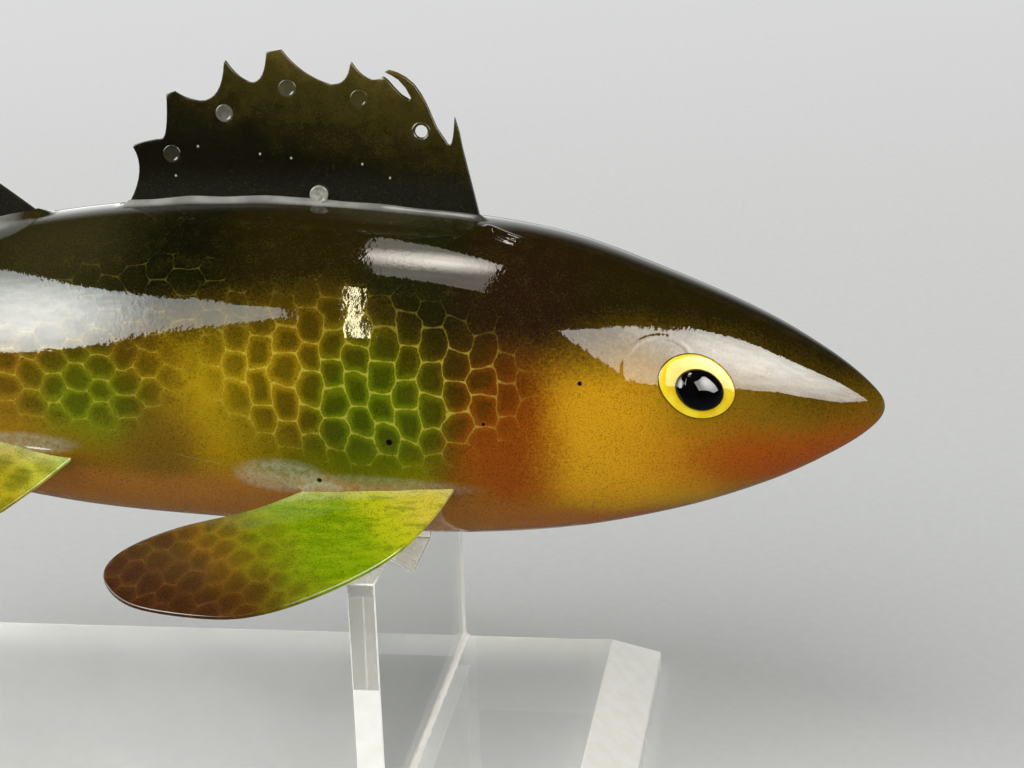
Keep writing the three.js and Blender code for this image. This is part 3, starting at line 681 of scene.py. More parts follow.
def body_material():
    """Deep, wet-looking colour under a coat that mirrors the room, ruffled by peel and one round sag."""
    material, tree, shader = new_material("lacquered_basswood", **LACQUER)
    place = map_place(tree)
    solid = solid_place(tree)
    wander = wandering(tree, wandering(tree, place, solid, 16.0, (9, 7)), solid, 0.5, (7, 7))
    colour, relief = scaled(tree, airbrushed(tree, wander), place, wander)
    fill(shader, Base_Color=smeared(tree, speckled(tree, colour, solid), place, solid))
    peel = add(tree, "TexNoise", {}, Vector=solid, Scale=1 / 1.0, Detail=2.0)
    uneven = add(tree, "TexNoise", {}, Vector=solid, Scale=1 / 14.0)
    peel = add(tree, "Math", TIMES, peel, add(tree, "MapRange", SOFTLY, uneven, 0.4, 0.6, 0.7, 1.7))
    from_crest = add(tree, "Math", SIZE, add(tree, "SeparateXYZ", {}, solid).node.outputs[1])
    peel = add(tree, "Math", TIMES, peel, add(tree, "MapRange", SOFTLY, from_crest, 2.0, 5.5, 0.3, 1.0))
    offset = add(tree, "VectorMath", MINUS, place, (*SAG_CENTRE, 0))
    from_centre = add(tree, "VectorMath", LENGTH, offset)
    ridge = add(tree, "Math", SIZE, add(tree, "Math", MINUS, from_centre, SAG_RADIUS))
    sag = add(tree, "MapRange", SOFTLY, ridge, 0.7, 0.0, 0, 2.3)
    above = add(tree, "SeparateXYZ", {}, offset).node.outputs[1]
    sag = add(tree, "Math", TIMES, sag, add(tree, "MapRange", SOFTLY, above, -3.0, 1.0))
    sag = add(tree, "Math", PLUS, sag, add(tree, "Math", TIMES, relief, 0.45))
    coat_bump(tree, shader, add(tree, "Math", PLUS, peel, sag), 0.0095)
    return material


body_paint = body_material()
piece_from(body_mesh, "painted_body", [body_paint], "painted_wood", "body")
print("body nodes", len(body_paint.node_tree.nodes))

# %% [markdown]
# ## Sheet metal fins
# Each fin is tin snips' work: flat sheet steel, 0.9 mm with its lacquer. A filled curve would give the
# outline, but long thin faces can't take a ripple. So the outline is filled with even triangles, rippled
# a little, thickened, and its edges are rounded as the lacquer rounds them.


# %% Curves for outlines
def bow(*line, count=8):
    """Points of a bent edge after its start, up to its end. The points between pull it their way."""
    points = []
    for k in range(1, count + 1):
        left = line
        while len(left) > 1:
            left = [tuple(a + (b - a) * k / count for a, b in zip(p, q)) for p, q in zip(left, left[1:])]
        points += left
    return points


def through(points, count):
    """A smooth line through points, which runs from the first to the last."""
    made = []
    for k in range(count + 1):
        place = k / count * (len(points) - 1)
        i = min(int(place), len(points) - 2)
        around = [points[min(max(i + o, 0), len(points) - 1)] for o in (-1, 0, 1, 2)]
        made.append(tuple(eased(*four, place - i) for four in zip(*around)))
    return made


def circle(centre, radius, count=28):
    turns = [2 * math.pi * i / count for i in range(count)]
    return [(centre[0] + radius * math.cos(turn), centre[1] + radius * math.sin(turn)) for turn in turns]


# %% Fill an outline with even triangles
ROW_RISE = 0.866


def close_to(point, loops, limit):
    """Whether a point is nearer than the limit to an edge of the loops."""
    for loop in loops:
        for a, b in zip(loop, loop[1:] + loop[:1]):
            edge = (b[0] - a[0], b[1] - a[1])
            size = edge[0] ** 2 + edge[1] ** 2
            t = 0 if size == 0 else ((point[0] - a[0]) * edge[0] + (point[1] - a[1]) * edge[1]) / size
            t = min(max(t, 0), 1)
            if math.hypot(point[0] - a[0] - t * edge[0], point[1] - a[1] - t * edge[1]) < limit:
                return True
    return False


def divided(loop, step):
    points = []
    for a, b in zip(loop, loop[1:] + loop[:1]):
        count = max(1, round(math.dist(a, b) / step))
        points += [tuple(p + (q - p) * i / count for p, q in zip(a, b)) for i in range(count)]
    return points


def filled_sheet(outline, holes, step):
    """Triangles of a flat sheet with holes, about as big as the step, as points and faces."""
    loops = [divided(loop, step) for loop in [outline] + holes]
    points, rounds = [], []
    for loop in loops:
        rounds.append(list(range(len(points), len(points) + len(loop))))
        points += loop
    low = [min(p[k] for p in loops[0]) for k in (0, 1)]
    high = [max(p[k] for p in loops[0]) for k in (0, 1)]
    rows = int((high[1] - low[1]) / (step * ROW_RISE)) + 1
    for row in range(rows):
        y = low[1] + row * step * ROW_RISE
        x = low[0] + (step / 2 if row % 2 else 0)
        while x < high[0]:
            if not close_to((x, y), loops, step * 0.55):
                points.append((x, y))
            x += step
    found, _, faces, _, _, _ = delaunay_2d_cdt([Vector(p) for p in points], [], rounds, 2, 1e-5)
    return [tuple(p) for p in found], faces


# %% Thicken a sheet in its place
LACQUERED_EDGE = 0.3


def round_edges(piece, name, width, segments, angle):
    """Rounds the edges that are sharper than an angle, with a Bevel modifier."""
    edge = piece.modifiers.new(name, "BEVEL")
    edge.width = width * MM
    edge.segments = segments
    edge.limit_method = "ANGLE"
    edge.angle_limit = math.radians(angle)
    return edge


def sheet_piece(name, outline, holes, step, place, ripple, paint, slot, stands_for):
    """place turns a point of the outline into millimetres of the object, and ripple moves it off the plane."""
    points, faces = filled_sheet(outline, holes, step)
    mesh = bmesh.new()
    spots = [mesh.verts.new(place(*p, ripple(*p)) * MM) for p in points]
    placed = {spot: (p[0] / MAP_STEP, p[1] / MAP_STEP) for spot, p in zip(spots, points)}
    for face in faces:
        mesh.faces.new([spots[i] for i in face])
    loose = [spot for spot in spots if not spot.link_faces]
    bmesh.ops.delete(mesh, geom=loose, context="VERTS")
    piece = piece_from(finish_mesh(mesh, placed), name, [paint], slot, stands_for)
    solid = piece.modifiers.new("sheet", "SOLIDIFY")
    solid.thickness = SHEET * MM
    solid.offset = 0
    round_edges(piece, "lacquered_edge", LACQUERED_EDGE, 3, 50)
    piece.modifiers.new("even_shading", "WEIGHTED_NORMAL")
    print(name, len(points), "points", len(faces), "faces")


# %% [markdown]
# ## Spiny dorsal fin
# Seven spines with scalloped webs between them, snipped by hand. One spine is a hooked strip, bent towards
# the viewer, so that daylight shows past it. Six holes were drilled for a line, and the lacquer filled all
# but one.

# %% Dorsal fin outline, as shares of its length and height
# A spine is its tip's place, how blunt it is, and the low point of the web ahead of it.
DORSAL_HEIGHT = 27.2
DORSAL_LENGTH = DORSAL_FRONT - DORSAL_REAR
DORSAL_BASE = back_at((DORSAL_FRONT + DORSAL_REAR) / 2)
KERF_DEPTH = 5
SPINES = [
    (0.024, 0.371, 0.004, 0.107, 0.426),
    (0.132, 0.72, 0.023, 0.225, 0.673),
    (0.303, 0.919, 0.004, 0.374, 0.79),
    (0.424, 0.985, 0.041, 0.598, 0.772),
    (0.656, 0.9, 0.004, 0.7135, 0.7995),
]
HOOK = [(0.746, 0.8214), (0.7579, 0.7986), (0.7762, 0.7468), (0.7947, 0.7014), (0.8163, 0.6687),
        (0.8225, 0.685), (0.8085, 0.7527), (0.7906, 0.8045), (0.7718, 0.835), (0.7536, 0.8565),
        (0.7649, 0.8659), (0.7868, 0.8495), (0.811, 0.8169), (0.8322, 0.7716), (0.8503, 0.7069),
        (0.8654, 0.6292), (0.8778, 0.5514), (0.8903, 0.4799), (0.9189, 0.3755)]
LAST_SPINE = [(0.9389, 0.5571), (0.9509, 0.4533), (0.9575, 0.3556)]
TIE_HOLES = [(0.135, 0.325), (0.295, 0.591), (0.477, 0.75), (0.677, 0.68), (0.845, 0.464), (0.55, 0.055)]
# Tiny white dots on the dorsal fin are painted glints, as shares of its length and height.
PAINTED_GLINTS = [(0.142, 0.18), (0.212, 0.374), (0.388, 0.323), (0.476, 0.294), (0.676, 0.253), (0.752, 0.162)]
OPEN_HOLE = 4
ROOT_HOLE = 5
HOLE_RADIUS = 1.35


def on_dorsal(along, up):
    return (DORSAL_REAR + along * DORSAL_LENGTH, DORSAL_BASE + up * DORSAL_HEIGHT)


def dorsal_outline():
    floor_z = min(back_at(DORSAL_FRONT), back_at(DORSAL_REAR)) - KERF_DEPTH
    points = [(DORSAL_REAR, floor_z), on_dorsal(0, 0)]
    points += bow(points[-1], on_dorsal(0.06, 0.22), on_dorsal(*SPINES[0][:2]))
    for i, (along, up, blunt, low_along, low_up) in enumerate(SPINES):
        points.append(on_dorsal(along + blunt, up + 0.015))
        lead = on_dorsal(along + blunt + 0.4 * (low_along - along - blunt), low_up + 0.25 * (up - low_up))
        points += bow(points[-1], lead, on_dorsal(low_along, low_up))
        after = SPINES[i + 1] if i + 1 < len(SPINES) else HOOK[0]
        rise = on_dorsal(after[0] - 0.15 * (after[0] - low_along), low_up)
        points += bow(points[-1], rise, on_dorsal(after[0], after[1]))
    points += [on_dorsal(*p) for p in HOOK[1:]]
    points += bow(points[-1], on_dorsal(0.933, 0.36), on_dorsal(*LAST_SPINE[0]), count=5)
    points += [on_dorsal(*p) for p in LAST_SPINE[1:]]
    points += [(DORSAL_FRONT, back_at(DORSAL_FRONT)), (DORSAL_FRONT, floor_z)]
    return points


def dorsal_ripple(x, z):
    """A slow wave, and the hooked strip bent towards the viewer."""
    along = (x - DORSAL_REAR) / DORSAL_LENGTH
    up = (z - DORSAL_BASE) / DORSAL_HEIGHT
    wave = 0.3 * noise.noise(Vector((x / 22, z / 16, 3.0))) * max(up, 0)
    strip = max(0.0, up - 0.6) * max(0.0, min(1.0, (along - 0.79 + 0.36 * (up - 0.7)) / 0.015))
    return wave - 3.5 * strip


# %% [markdown]
# The dorsal fin was sprayed almost black at its root and olive brown above, lighter towards the front. The grey
# over its lowest part is a painted reflection, and its few white dots are painted glints. Its thinner coat set
# duller than the body's, which blurs what it mirrors.


# %% Dorsal fin paint
DULLER_LACQUER = {**LACQUER, "Coat_Roughness": 0.18}


def dorsal_material():
    material, tree, shader = new_material("lacquered_steel_dark", **DULLER_LACQUER)
    solid = solid_place(tree)
    along, _, height = add(tree, "SeparateXYZ", {}, solid).node.outputs
    cloud = add(tree, "TexNoise", {}, Vector=solid, Scale=1 / 3.5, Detail=5.0, Roughness=0.65)
    level = add(tree, "Math", PLUS, height, add(tree, "Math", TIMES, cloud, 18.0))
    level = add(tree, "Math", PLUS, level, add(tree, "Math", TIMES, along, 0.26))
    # The grey coat low on the sheet, below its black band, is a painted reflection.
    colour = coats(tree, linear("#080703"), ("#1b1b16", height, 119, 113, 1.0),
                   ("#38310e", level, 135, 151, 1.0), ("#645424", level, 149, 160, 1.0))
    # White dots where the lacquer caught the light: painted glints.
    painted_glints = [("#b9b9b0", on_dorsal(*glint), (0.17, 0.2), 0.6, 1.0) for glint in PAINTED_GLINTS]
    colour = ovals(tree, colour, map_place(tree), painted_glints)
    fill(shader, Base_Color=speckled(tree, colour, solid, 0.55))
    coat_bump(tree, shader, add(tree, "TexNoise", {}, Vector=solid, Scale=1 / 1.4, Detail=2.0), 0.03)
    return material


def upright_place(x, z, off):
    return Vector((x, off, z))


dark_paint = dorsal_material()
dorsal_holes = [circle(on_dorsal(*hole), HOLE_RADIUS) for hole in TIE_HOLES]
sheet_piece("dorsal_sheet", dorsal_outline(), dorsal_holes, 0.9, upright_place, dorsal_ripple,
            dark_paint, "dark_painted_tin", "dorsal_fin")

# %% [markdown]
# ## Lacquer in the tie holes
# A dipped hole holds a skin of lacquer, as a ring holds a soap film. It is a little hollow on both faces,
# milky where air is caught in it, and it leaves a faint raised rim. Clear resin has an IOR of about 1.5.

# %% Tie hole films: the colour seen through each, and profiles as radius and half thickness
HOLE_FILM = ["#2a2922", "#66645c", "#4c4834", "#403a1c", "#3a3414", "#a8a69c"]
FILM_PROFILE = [(0.0, 0.34), (0.5, 0.35), (0.9, 0.38), (1.15, 0.43), (1.32, 0.48), (1.48, 0.49), (1.62, 0.43)]
RIM_PROFILE = [(1.08, 0.0), (1.12, 0.24), (1.24, 0.46), (1.45, 0.54), (1.62, 0.5), (1.75, 0.42)]
ROOT_FILM_OFF = 0.7


def film_material(code):
    material, tree, shader = new_material("lacquer_film_" + code[1:], **LACQUER)
    solid = solid_place(tree)
    cloud = add(tree, "TexNoise", {}, Vector=solid, Scale=1 / 1.1, Detail=2.0)
    fill(shader, Base_Color=coats(tree, linear(code), ("#3a3620", cloud, 0.35, 0.65, 0.5)))
    return material


def film_disc(name, centre, profile, paint, off):
    """A disc or a rim, turned from its profile and the profile's mirror image."""
    mesh = bmesh.new()
    rings = []
    mirrored = profile if profile[0][1] > 0 else profile[1:]
    for radius, depth in [(r, -d) for r, d in reversed(profile)] + mirrored:
        ring = circle(centre, radius, 40) if radius > 0 else [centre]
        rings.append([mesh.verts.new(Vector((x, off + depth, z)) * MM) for x, z in ring])
    bridge(mesh, rings + rings[:1])
    piece_from(finish_mesh(mesh, {}), name, [paint], "dark_painted_tin")


for number, (hole, code) in enumerate(zip(TIE_HOLES, HOLE_FILM)):
    centre = on_dorsal(*hole)
    profile = RIM_PROFILE if number == OPEN_HOLE else FILM_PROFILE
    off = dorsal_ripple(*centre) - (ROOT_FILM_OFF if number == ROOT_HOLE else 0.0)
    film_disc(f"tie_hole_lacquer_{number + 1}", centre, profile, film_material(code), off)
print("tie holes", len(TIE_HOLES), "of which one is open")

# %% [markdown]
# ## Second dorsal fin and tail fin
# The photograph shows only the front of the second dorsal fin, and the tail is outside it. Both are made as
# the same maker would: a low sail with a scalloped edge, and two rounded lobes about a shallow fork.

# %% Second dorsal fin outline
SECOND_HEIGHT = 17
SAIL_TIPS = [(0.44, 1), (0.56, 0.97), (0.68, 0.9), (0.8, 0.8), (0.92, 0.66), (1.03, 0.5)]


def on_second(along, up):
    x = SECOND_FRONT - along * (SECOND_FRONT - SECOND_REAR)
    return (x, back_at(x) + up * SECOND_HEIGHT)


def second_outline():
    floor_z = min(back_at(SECOND_FRONT), back_at(SECOND_REAR)) - KERF_DEPTH
    points = [(SECOND_FRONT, floor_z), on_second(0, 0)]
    points += bow(points[-1], on_second(0.26, 0.62), on_second(*SAIL_TIPS[0]), count=14)
    for (along, up), (next_along, next_up) in zip(SAIL_TIPS, SAIL_TIPS[1:]):
        dip = on_second((along + next_along) / 2 + 0.02, min(up, next_up) - 0.08)
        points += bow(points[-1], dip, on_second(next_along, next_up), count=5)
    points += bow(points[-1], on_second(0.93, 0.25), on_second(1, 0))
    points.append((SECOND_REAR, floor_z))
    return points


def soft_ripple(x, z):
    return 0.25 * noise.noise(Vector((x / 20, z / 14, 7.0)))


sheet_piece("second_dorsal_sheet", second_outline(), [], 1.0, upright_place, soft_ripple,
            dark_paint, "dark_painted_tin", "second_dorsal_fin")

# %% Tail fin outline
TAIL_FORK = 12
TAIL_KERF = 9
LOBE_REACH = 0.98
LOBE_LEVEL = 0.72
wrist_middle, wrist_half, _ = section_at(WRIST_X)
TONGUE_HALF = wrist_half * 0.86


def on_tail(back, up):
    return (WRIST_X - back * TAIL_LENGTH, wrist_middle + up * TAIL_HEIGHT / 2)


def tail_edge(up):
    """How far back the scalloped rear edge reaches at a level between the lobes."""
    fork = 1 - TAIL_FORK / TAIL_LENGTH
    return fork + (LOBE_REACH - fork) * (abs(up) / LOBE_LEVEL) ** 1.3


def tail_outline():
    points = [(WRIST_X + TAIL_KERF, wrist_middle + TONGUE_HALF), (WRIST_X, wrist_middle + TONGUE_HALF)]
    points += bow(points[-1], on_tail(0.35, 0.52), on_tail(0.7, 1.02), on_tail(0.94, 1), count=16)
    points += bow(points[-1], on_tail(1.03, 0.97), on_tail(LOBE_REACH, LOBE_LEVEL), count=6)
    levels = (LOBE_LEVEL, 0.48, 0.24, 0, -0.24, -0.48, -LOBE_LEVEL)
    for last, up in zip(levels, levels[1:]):
        between = on_tail((tail_edge(up) + tail_edge(last)) / 2 - 0.05, (up + last) / 2)
        points += bow(points[-1], between, on_tail(tail_edge(up), up), count=6)
    points += bow(points[-1], on_tail(1.03, -0.97), on_tail(0.94, -1), count=6)
    end = (WRIST_X, wrist_middle - TONGUE_HALF)
    points += bow(points[-1], on_tail(0.7, -1.02), on_tail(0.35, -0.52), end, count=16)
    points.append((WRIST_X + TAIL_KERF, wrist_middle - TONGUE_HALF))
    return points


# %% [markdown]
# ## Green fin paint
# The side fins and the tail were sprayed in bands across the fin: gold at the front, leaf green, olive, and
# maroon at the tip, with the netting's shadow over the dark end. The bands lean, so they are laid out along
# a slanting measure. Epoxy makes the root milky.

# %% Fin bands: hex and where each begins and is full, in millimetres along the fin
PECTORAL_BANDS = [("#b4b618", 8, 16), ("#809c0a", 15, 24), ("#76920a", 24, 31), ("#78850f", 31, 37),
                  ("#7a6c13", 37, 44), ("#7a581a", 43, 50), ("#5c3c1f", 50, 56), ("#52311f", 56, 64)]
PELVIC_BANDS = [("#b4b43a", 1, 6), ("#a8981c", 6, 13), ("#9c8a18", 14, 26), ("#6e5018", 30, 40),
                ("#48281b", 40, 52)]
TAIL_BANDS = [("#8aa010", -2, 6), ("#7c8410", 8, 15), ("#70500f", 14, 22), ("#42241a", 21, 31)]


def fin_material(name, first, bands, lean, cells, net_from):
    """Bands that lean by a share of the way out, then stippling and strokes, the net's shadow and epoxy."""
    material, tree, shader = new_material(name, **LACQUER)
    place = map_place(tree)
    solid = solid_place(tree)
    back, out, _ = add(tree, "SeparateXYZ", {}, wandering(tree, place, solid, 8.0, (9, 6))).node.outputs
    measure = add(tree, "Math", PLUS, back, add(tree, "Math", TIMES, out, lean))
    colour = coats(tree, linear(first), *((code, measure, start, full, 1.0) for code, start, full in bands))
    cloud = add(tree, "TexNoise", {}, Vector=solid, Scale=1 / 1.6, Detail=5.0, Roughness=0.75)
    drawn_out = add(tree, "VectorMath", TIMES, place, (0.3, 1.0, 1.0))
    strokes = add(tree, "TexNoise", {}, Vector=drawn_out, Scale=1 / 1.8, Detail=3.0)
    bare = add(tree, "MapRange", SOFTLY, measure, 42, 34)
    green = add(tree, "MapRange", SOFTLY, measure, 40, 28)
    tip = add(tree, "MapRange", SOFTLY, back, 20, 34)
    colour = coats(tree, colour, ("#4c5408", cloud, 0.5, 0.68, 0.42), ("#b0a022", cloud, 0.46, 0.3, 0.35, bare),
                   ("#567204", strokes, 0.48, 0.66, 0.5, green), ("#a8ac18", strokes, 0.46, 0.32, 0.4, green),
                   ("#46260f", out, 19, 28, 0.7, tip))
    thread = netting(tree, place, cells, 0.5)
    shown = add(tree, "MapRange", SOFTLY, measure, net_from, net_from + 14)
    worn = add(tree, "TexNoise", {}, Vector=solid, Scale=1 / 6.0, Detail=2.0)
    worn = add(tree, "MapRange", SOFTLY, worn, 0.38, 0.6, 0.25, 1.0)
    colour = coats(tree, colour, ("#24140c", thread, 0.02, 0.3, 0.34, shown),
                   ("#a8803a", thread, 0.07, 0.0, 0.16, shown, worn), ("#c8c488", out, 4.0, -1.0, 0.5))
    fill(shader, Base_Color=speckled(tree, colour, solid))
    coat_bump(tree, shader, add(tree, "TexNoise", {}, Vector=solid, Scale=1 / 1.4, Detail=2.0), 0.02)
    return material


pectoral_paint = fin_material("lacquered_steel_green", "#c6b63a", PECTORAL_BANDS, 0.6, (7.6, 5.2), 30)
pelvic_paint = fin_material("lacquered_steel_leaf", "#9cbc34", PELVIC_BANDS, 0.3, (8.6, 5.8), -8)
tail_paint = fin_material("lacquered_steel_tail", "#a8a020", TAIL_BANDS, 0.0, (9.0, 6.4), 6)


def tail_place(back, up, off):
    return Vector((WRIST_X - back, off, wrist_middle + up))


tail_local = [(WRIST_X - x, z - wrist_middle) for x, z in tail_outline()]
sheet_piece("tail_sheet", tail_local, [], 1.1, tail_place, soft_ripple,
            tail_paint, "green_painted_tin", "tail_fin")

# %% Paddle fins: the edge as shares of the length and the reach
PADDLE = [(0.6, 0.145), (0.822, 0.29), (0.973, 0.48), (0.993, 0.685), (0.878, 0.9), (0.64, 1),
          (0.473, 0.965), (0.3, 0.8), (0.146, 0.552), (0.05, 0.26)]


def paddle_outline(fin):
    reach, length, sweep = fin["reach"], fin["length"], fin["sweep"]
    points = [(fin["root"], 0.0)]
    points += [(back * length + sweep * out * reach, out * reach) for back, out in PADDLE]
    points.append((0.0, 0.0))
    edge = through(points, 96)
    return [(0.0, -KERF_DEPTH), (fin["root"], -KERF_DEPTH)] + edge


def paddle_piece(fin, side, paint):
    word = SIDES[side]
    matrix = fin_frame(fin, side)

    def place(back, out, off):
        return matrix @ Vector((back, out, off))

    def ripple(back, out):
        return 0.2 * noise.noise(Vector((back / 18, out / 14, side * 5.0)))

    sheet_piece(fin["node"] + "_sheet_" + word, paddle_outline(fin), [], 1.1, place, ripple,
                paint, "green_painted_tin", fin["node"] + "_" + word)


for side in SIDES:
    paddle_piece(PECTORAL, side, pectoral_paint)
    paddle_piece(PELVIC, side, pelvic_paint)

# %% [markdown]
# ## Eyes
# An oval of yellow enamel on the head, laid by hand, so it leans and is a little flat on two sides, with a
# thin dark line where it meets the wood. A black bead stands proud of it. Both follow the head's curve. The
# enamel's IOR is about 1.5, and the bead is smooth enough to mirror the light tent's walls.

# %% Points on the head
EYE_FROM_NOSE = 32
EYE_RISE = 8.1


def body_level(p):
    middle, half_height, half_width = section_at(p.x)
    up = p.z - middle
    power = BACK_POWER if up > 0 else BELLY_POWER
    return (abs(p.y) / half_width) ** power + (abs(up) / half_height) ** power - 1


def eye_frame(side):
    """The eye's centre on the wood, and its directions outwards, forwards and up."""
    x = NOSE_X - EYE_FROM_NOSE
    z = NOSE_Z + EYE_RISE
    centre = Vector((x, side * side_at(x, z), z))
    nudges = [Vector(axis) * 0.05 for axis in ((1, 0, 0), (0, 1, 0), (0, 0, 1))]
    slopes = [body_level(centre + nudge) - body_level(centre - nudge) for nudge in nudges]
    out = Vector(slopes).normalized()
    ahead = Vector((1, 0, 0))
    forward = (ahead - out * ahead.dot(out)).normalized()
    return centre, out, forward, forward.cross(out) * side


def on_head(eye, a, b):
    """The wood's point under a place of the eye's own plane, found by halving."""
    centre, out, forward, lift = eye
    foot = centre + forward * a + lift * b
    high, low = 6.0, -9.0
    for _ in range(30):
        half = (high + low) / 2
        if body_level(foot + out * half) > 0:
            high = half
        else:
            low = half
    return foot + out * high


# %% Eye discs and beads
EYE_SIDES = 72
EYE_SIZE = (14.1, 10.9)
PUPIL_SIZE = (8.8, 7.1)
EYE_PROUD = 0.45
EYE_LEAN = math.radians(-20.5)
PUPIL_PLACE = (0.4, -0.6)
DISC_LEVELS = [(k / 10, EYE_PROUD) for k in range(1, 9)] + [(0.9, 0.43), (0.96, 0.36), (0.99, 0.24),
                                                            (1.0, 0.05), (1.0, -0.9)]
BEAD_LEVELS = [(k / 12, 0.5 + 1.75 * math.sqrt(1 - (k / 12) ** 2)) for k in range(1, 12)]
BEAD_LEVELS += [(0.97, 0.9), (0.99, 0.65), (1.0, 0.35), (1.0, 0.1)]


def flattened(angle, amount):
    """The brush left two sides flatter: below the rear and above the front."""
    low_rear = max(math.cos(angle - math.radians(235)), 0) ** 6
    high_front = max(math.cos(angle - math.radians(55)), 0) ** 6
    return 1 - amount * low_rear - 0.6 * amount * high_front


def eye_patch(side, size, levels, middle=(0.0, 0.0), flat=0.06):
    """Rings from the middle outwards at the given heights above the wood, then down round the rim."""
    eye = eye_frame(side)
    mesh = bmesh.new()
    placed = {}
    rings = []
    c, s = math.cos(EYE_LEAN), math.sin(EYE_LEAN)
    for share, level in levels:
        ring = []
        for i in range(EYE_SIDES):
            angle = 2 * math.pi * i / EYE_SIDES
            reach = share * flattened(angle, flat)
            a, b = size[0] / 2 * math.cos(angle) * reach, size[1] / 2 * math.sin(angle) * reach
            spot = on_head(eye, middle[0] + a * c - b * s, middle[1] + a * s + b * c) + eye[1] * level
            vertex = mesh.verts.new(spot * MM)
            placed[vertex] = (share * math.cos(angle) / MAP_STEP, share * math.sin(angle) / MAP_STEP)
            ring.append(vertex)
        rings.append(ring)
    top, foot = middle_of(mesh, rings[0], placed), middle_of(mesh, rings[-1], placed)
    bridge(mesh, [top, *rings, foot])
    return finish_mesh(mesh, placed)


def enamel_yellow():
    """Warmer and cooler yellow where the brush left more or less, with a dark line round the rim."""
    material, tree, shader = new_material("enamel_yellow", **LACQUER)
    reach = add(tree, "VectorMath", LENGTH, map_place(tree))
    tone = add(tree, "TexNoise", {}, Vector=solid_place(tree), Scale=1 / 4.0)
    fill(shader, Base_Color=coats(tree, linear("#eec620"), ("#f6dc38", tone, 0.35, 0.65, 1.0),
                                  ("#3a2f08", reach, 0.96, 0.985, 1.0)))
    return material


def enamel_black():
    """Black enough that only its mirrored lights are seen."""
    material, tree, shader = new_material("enamel_black", **LACQUER)
    tone = add(tree, "TexNoise", {}, Vector=solid_place(tree), Scale=1 / 2.0)
    fill(shader, Base_Color=coats(tree, linear("#040405"), ("#0a0909", tone, 0.3, 0.7, 1.0)))
    return material


yellow = enamel_yellow()
black = enamel_black()
for side, word in SIDES.items():
    disc = eye_patch(side, EYE_SIZE, DISC_LEVELS)
    piece_from(disc, "eye_disc_" + word, [yellow], "eye_yellow", "eye_" + word)
    bead = eye_patch(side, PUPIL_SIZE, BEAD_LEVELS, PUPIL_PLACE, 0.03)
    piece_from(bead, "eye_bead_" + word, [black], "pupil_black", "pupil_" + word)
print("eyes made on both sides")

# %% [markdown]
# ## Clear acrylic stand
# Cast acrylic sheet, IOR 1.49, quite clear, cut on a table saw and cemented. Its faces keep the sheet's own
# polish. A sawn or milled face scatters light, so it is partly clear and partly white. A flame has cleared
# some of the edges again. The plates are made again here, so that their arrises are slightly broken and each
# face has the finish of its tool.

# %% Acrylic finishes
ACRYLIC_IOR = 1.49


def clear_acrylic(name, rough, code):
    """See-through, with the sheet's own polish or a flame's: the rougher, the more it blurs."""
    return new_material(name, Roughness=rough, Transmission_Weight=1.0, IOR=ACRYLIC_IOR,
                        Base_Color=linear(code))[0]


def tooled_acrylic(name, rough, clear, depth, grain):
    """Scored by a blade or cutter: fine strokes scatter the light."""
    material, tree, shader = new_material(name, Roughness=rough, Transmission_Weight=clear, IOR=ACRYLIC_IOR)
    place = solid_place(tree)
    strokes = add(tree, "VectorMath", TIMES, place, grain)
    score = add(tree, "TexNoise", {}, Vector=strokes, Scale=1 / 0.6, Detail=3.0)
    cloud = add(tree, "TexNoise", {}, Vector=place, Scale=1 / 3.0, Detail=3.0)
    bump = add(tree, "Bump", {}, Strength=1.0, Distance=depth * MM, Height=score)
    tone = coats(tree, linear("#f8f6ee"), ("#fffefa", cloud, 0.3, 0.7, 1.0))
    fill(shader, Base_Color=tone, Normal=bump)
    return material


FINISHES = [
    clear_acrylic("acrylic_polished", 0.0, "#fcfdfc"),
    tooled_acrylic("acrylic_sawn", 0.3, 0.08, 0.03, (1.0, 1.0, 0.2)),
    tooled_acrylic("acrylic_milled", 0.35, 0.06, 0.02, (1.0, 0.15, 1.0)),
    # The flamed faces' grey tint is painted shade: it darkens what shows through them.
    clear_acrylic("acrylic_flamed", 0.04, "#c6c8c3"),
    tooled_acrylic("acrylic_cut", 0.25, 0.7, 0.02, (1.0, 1.0, 0.2)),
]
POLISHED, SAWN, MILLED, FLAMED, CUT = range(len(FINISHES))
cement = tooled_acrylic("acrylic_cement", 0.4, 0.1, 0.02, (1.0, 1.0, 1.0))
print("acrylic finishes", len(FINISHES))


# %% A plate from its faces
def plate_piece(name, points, faces, node, arris):
    """Faces with a finish each. The arris is the width at which its edges are broken, by the saw's finish."""
    mesh = bmesh.new()
    spots = [mesh.verts.new(Vector(p) * MM) for p in points]
    for face, finish in faces:
        made = mesh.faces.new([spots[i] for i in face])
        made.material_index = finish
    bmesh.ops.recalc_face_normals(mesh, faces=mesh.faces)
    piece = piece_from(mesh, name, FINISHES, "clear_acrylic", node)
    piece.visible_shadow = False
    round_edges(piece, "broken_arris", arris, 2, 20).material = SAWN
    return piece


# %% Base slab
BEVEL_RUN = 8.9
BEVEL_DROP = 6.6


def base_slab():
    """A slab with sawn sides and a wide milled bevel round its top."""
    low, high = (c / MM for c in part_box("stand_base"))
    levels = [(0.0, low.z), (0.0, high.z - BEVEL_DROP), (BEVEL_RUN, high.z)]
    points = []
    for inset, z in levels:
        points += [(high.x - inset, high.y - inset, z), (low.x + inset, high.y - inset, z),
                   (low.x + inset, low.y + inset, z), (high.x - inset, low.y + inset, z)]
    faces = [((3, 2, 1, 0), POLISHED), ((8, 9, 10, 11), POLISHED)]
    for ring, finish in ((0, SAWN), (4, MILLED)):
        for i in range(4):
            j = (i + 1) % 4
            faces.append(((ring + i, ring + j, ring + 4 + j, ring + 4 + i), finish))
    return plate_piece("clear_base", points, faces, "stand_base", 0.3)


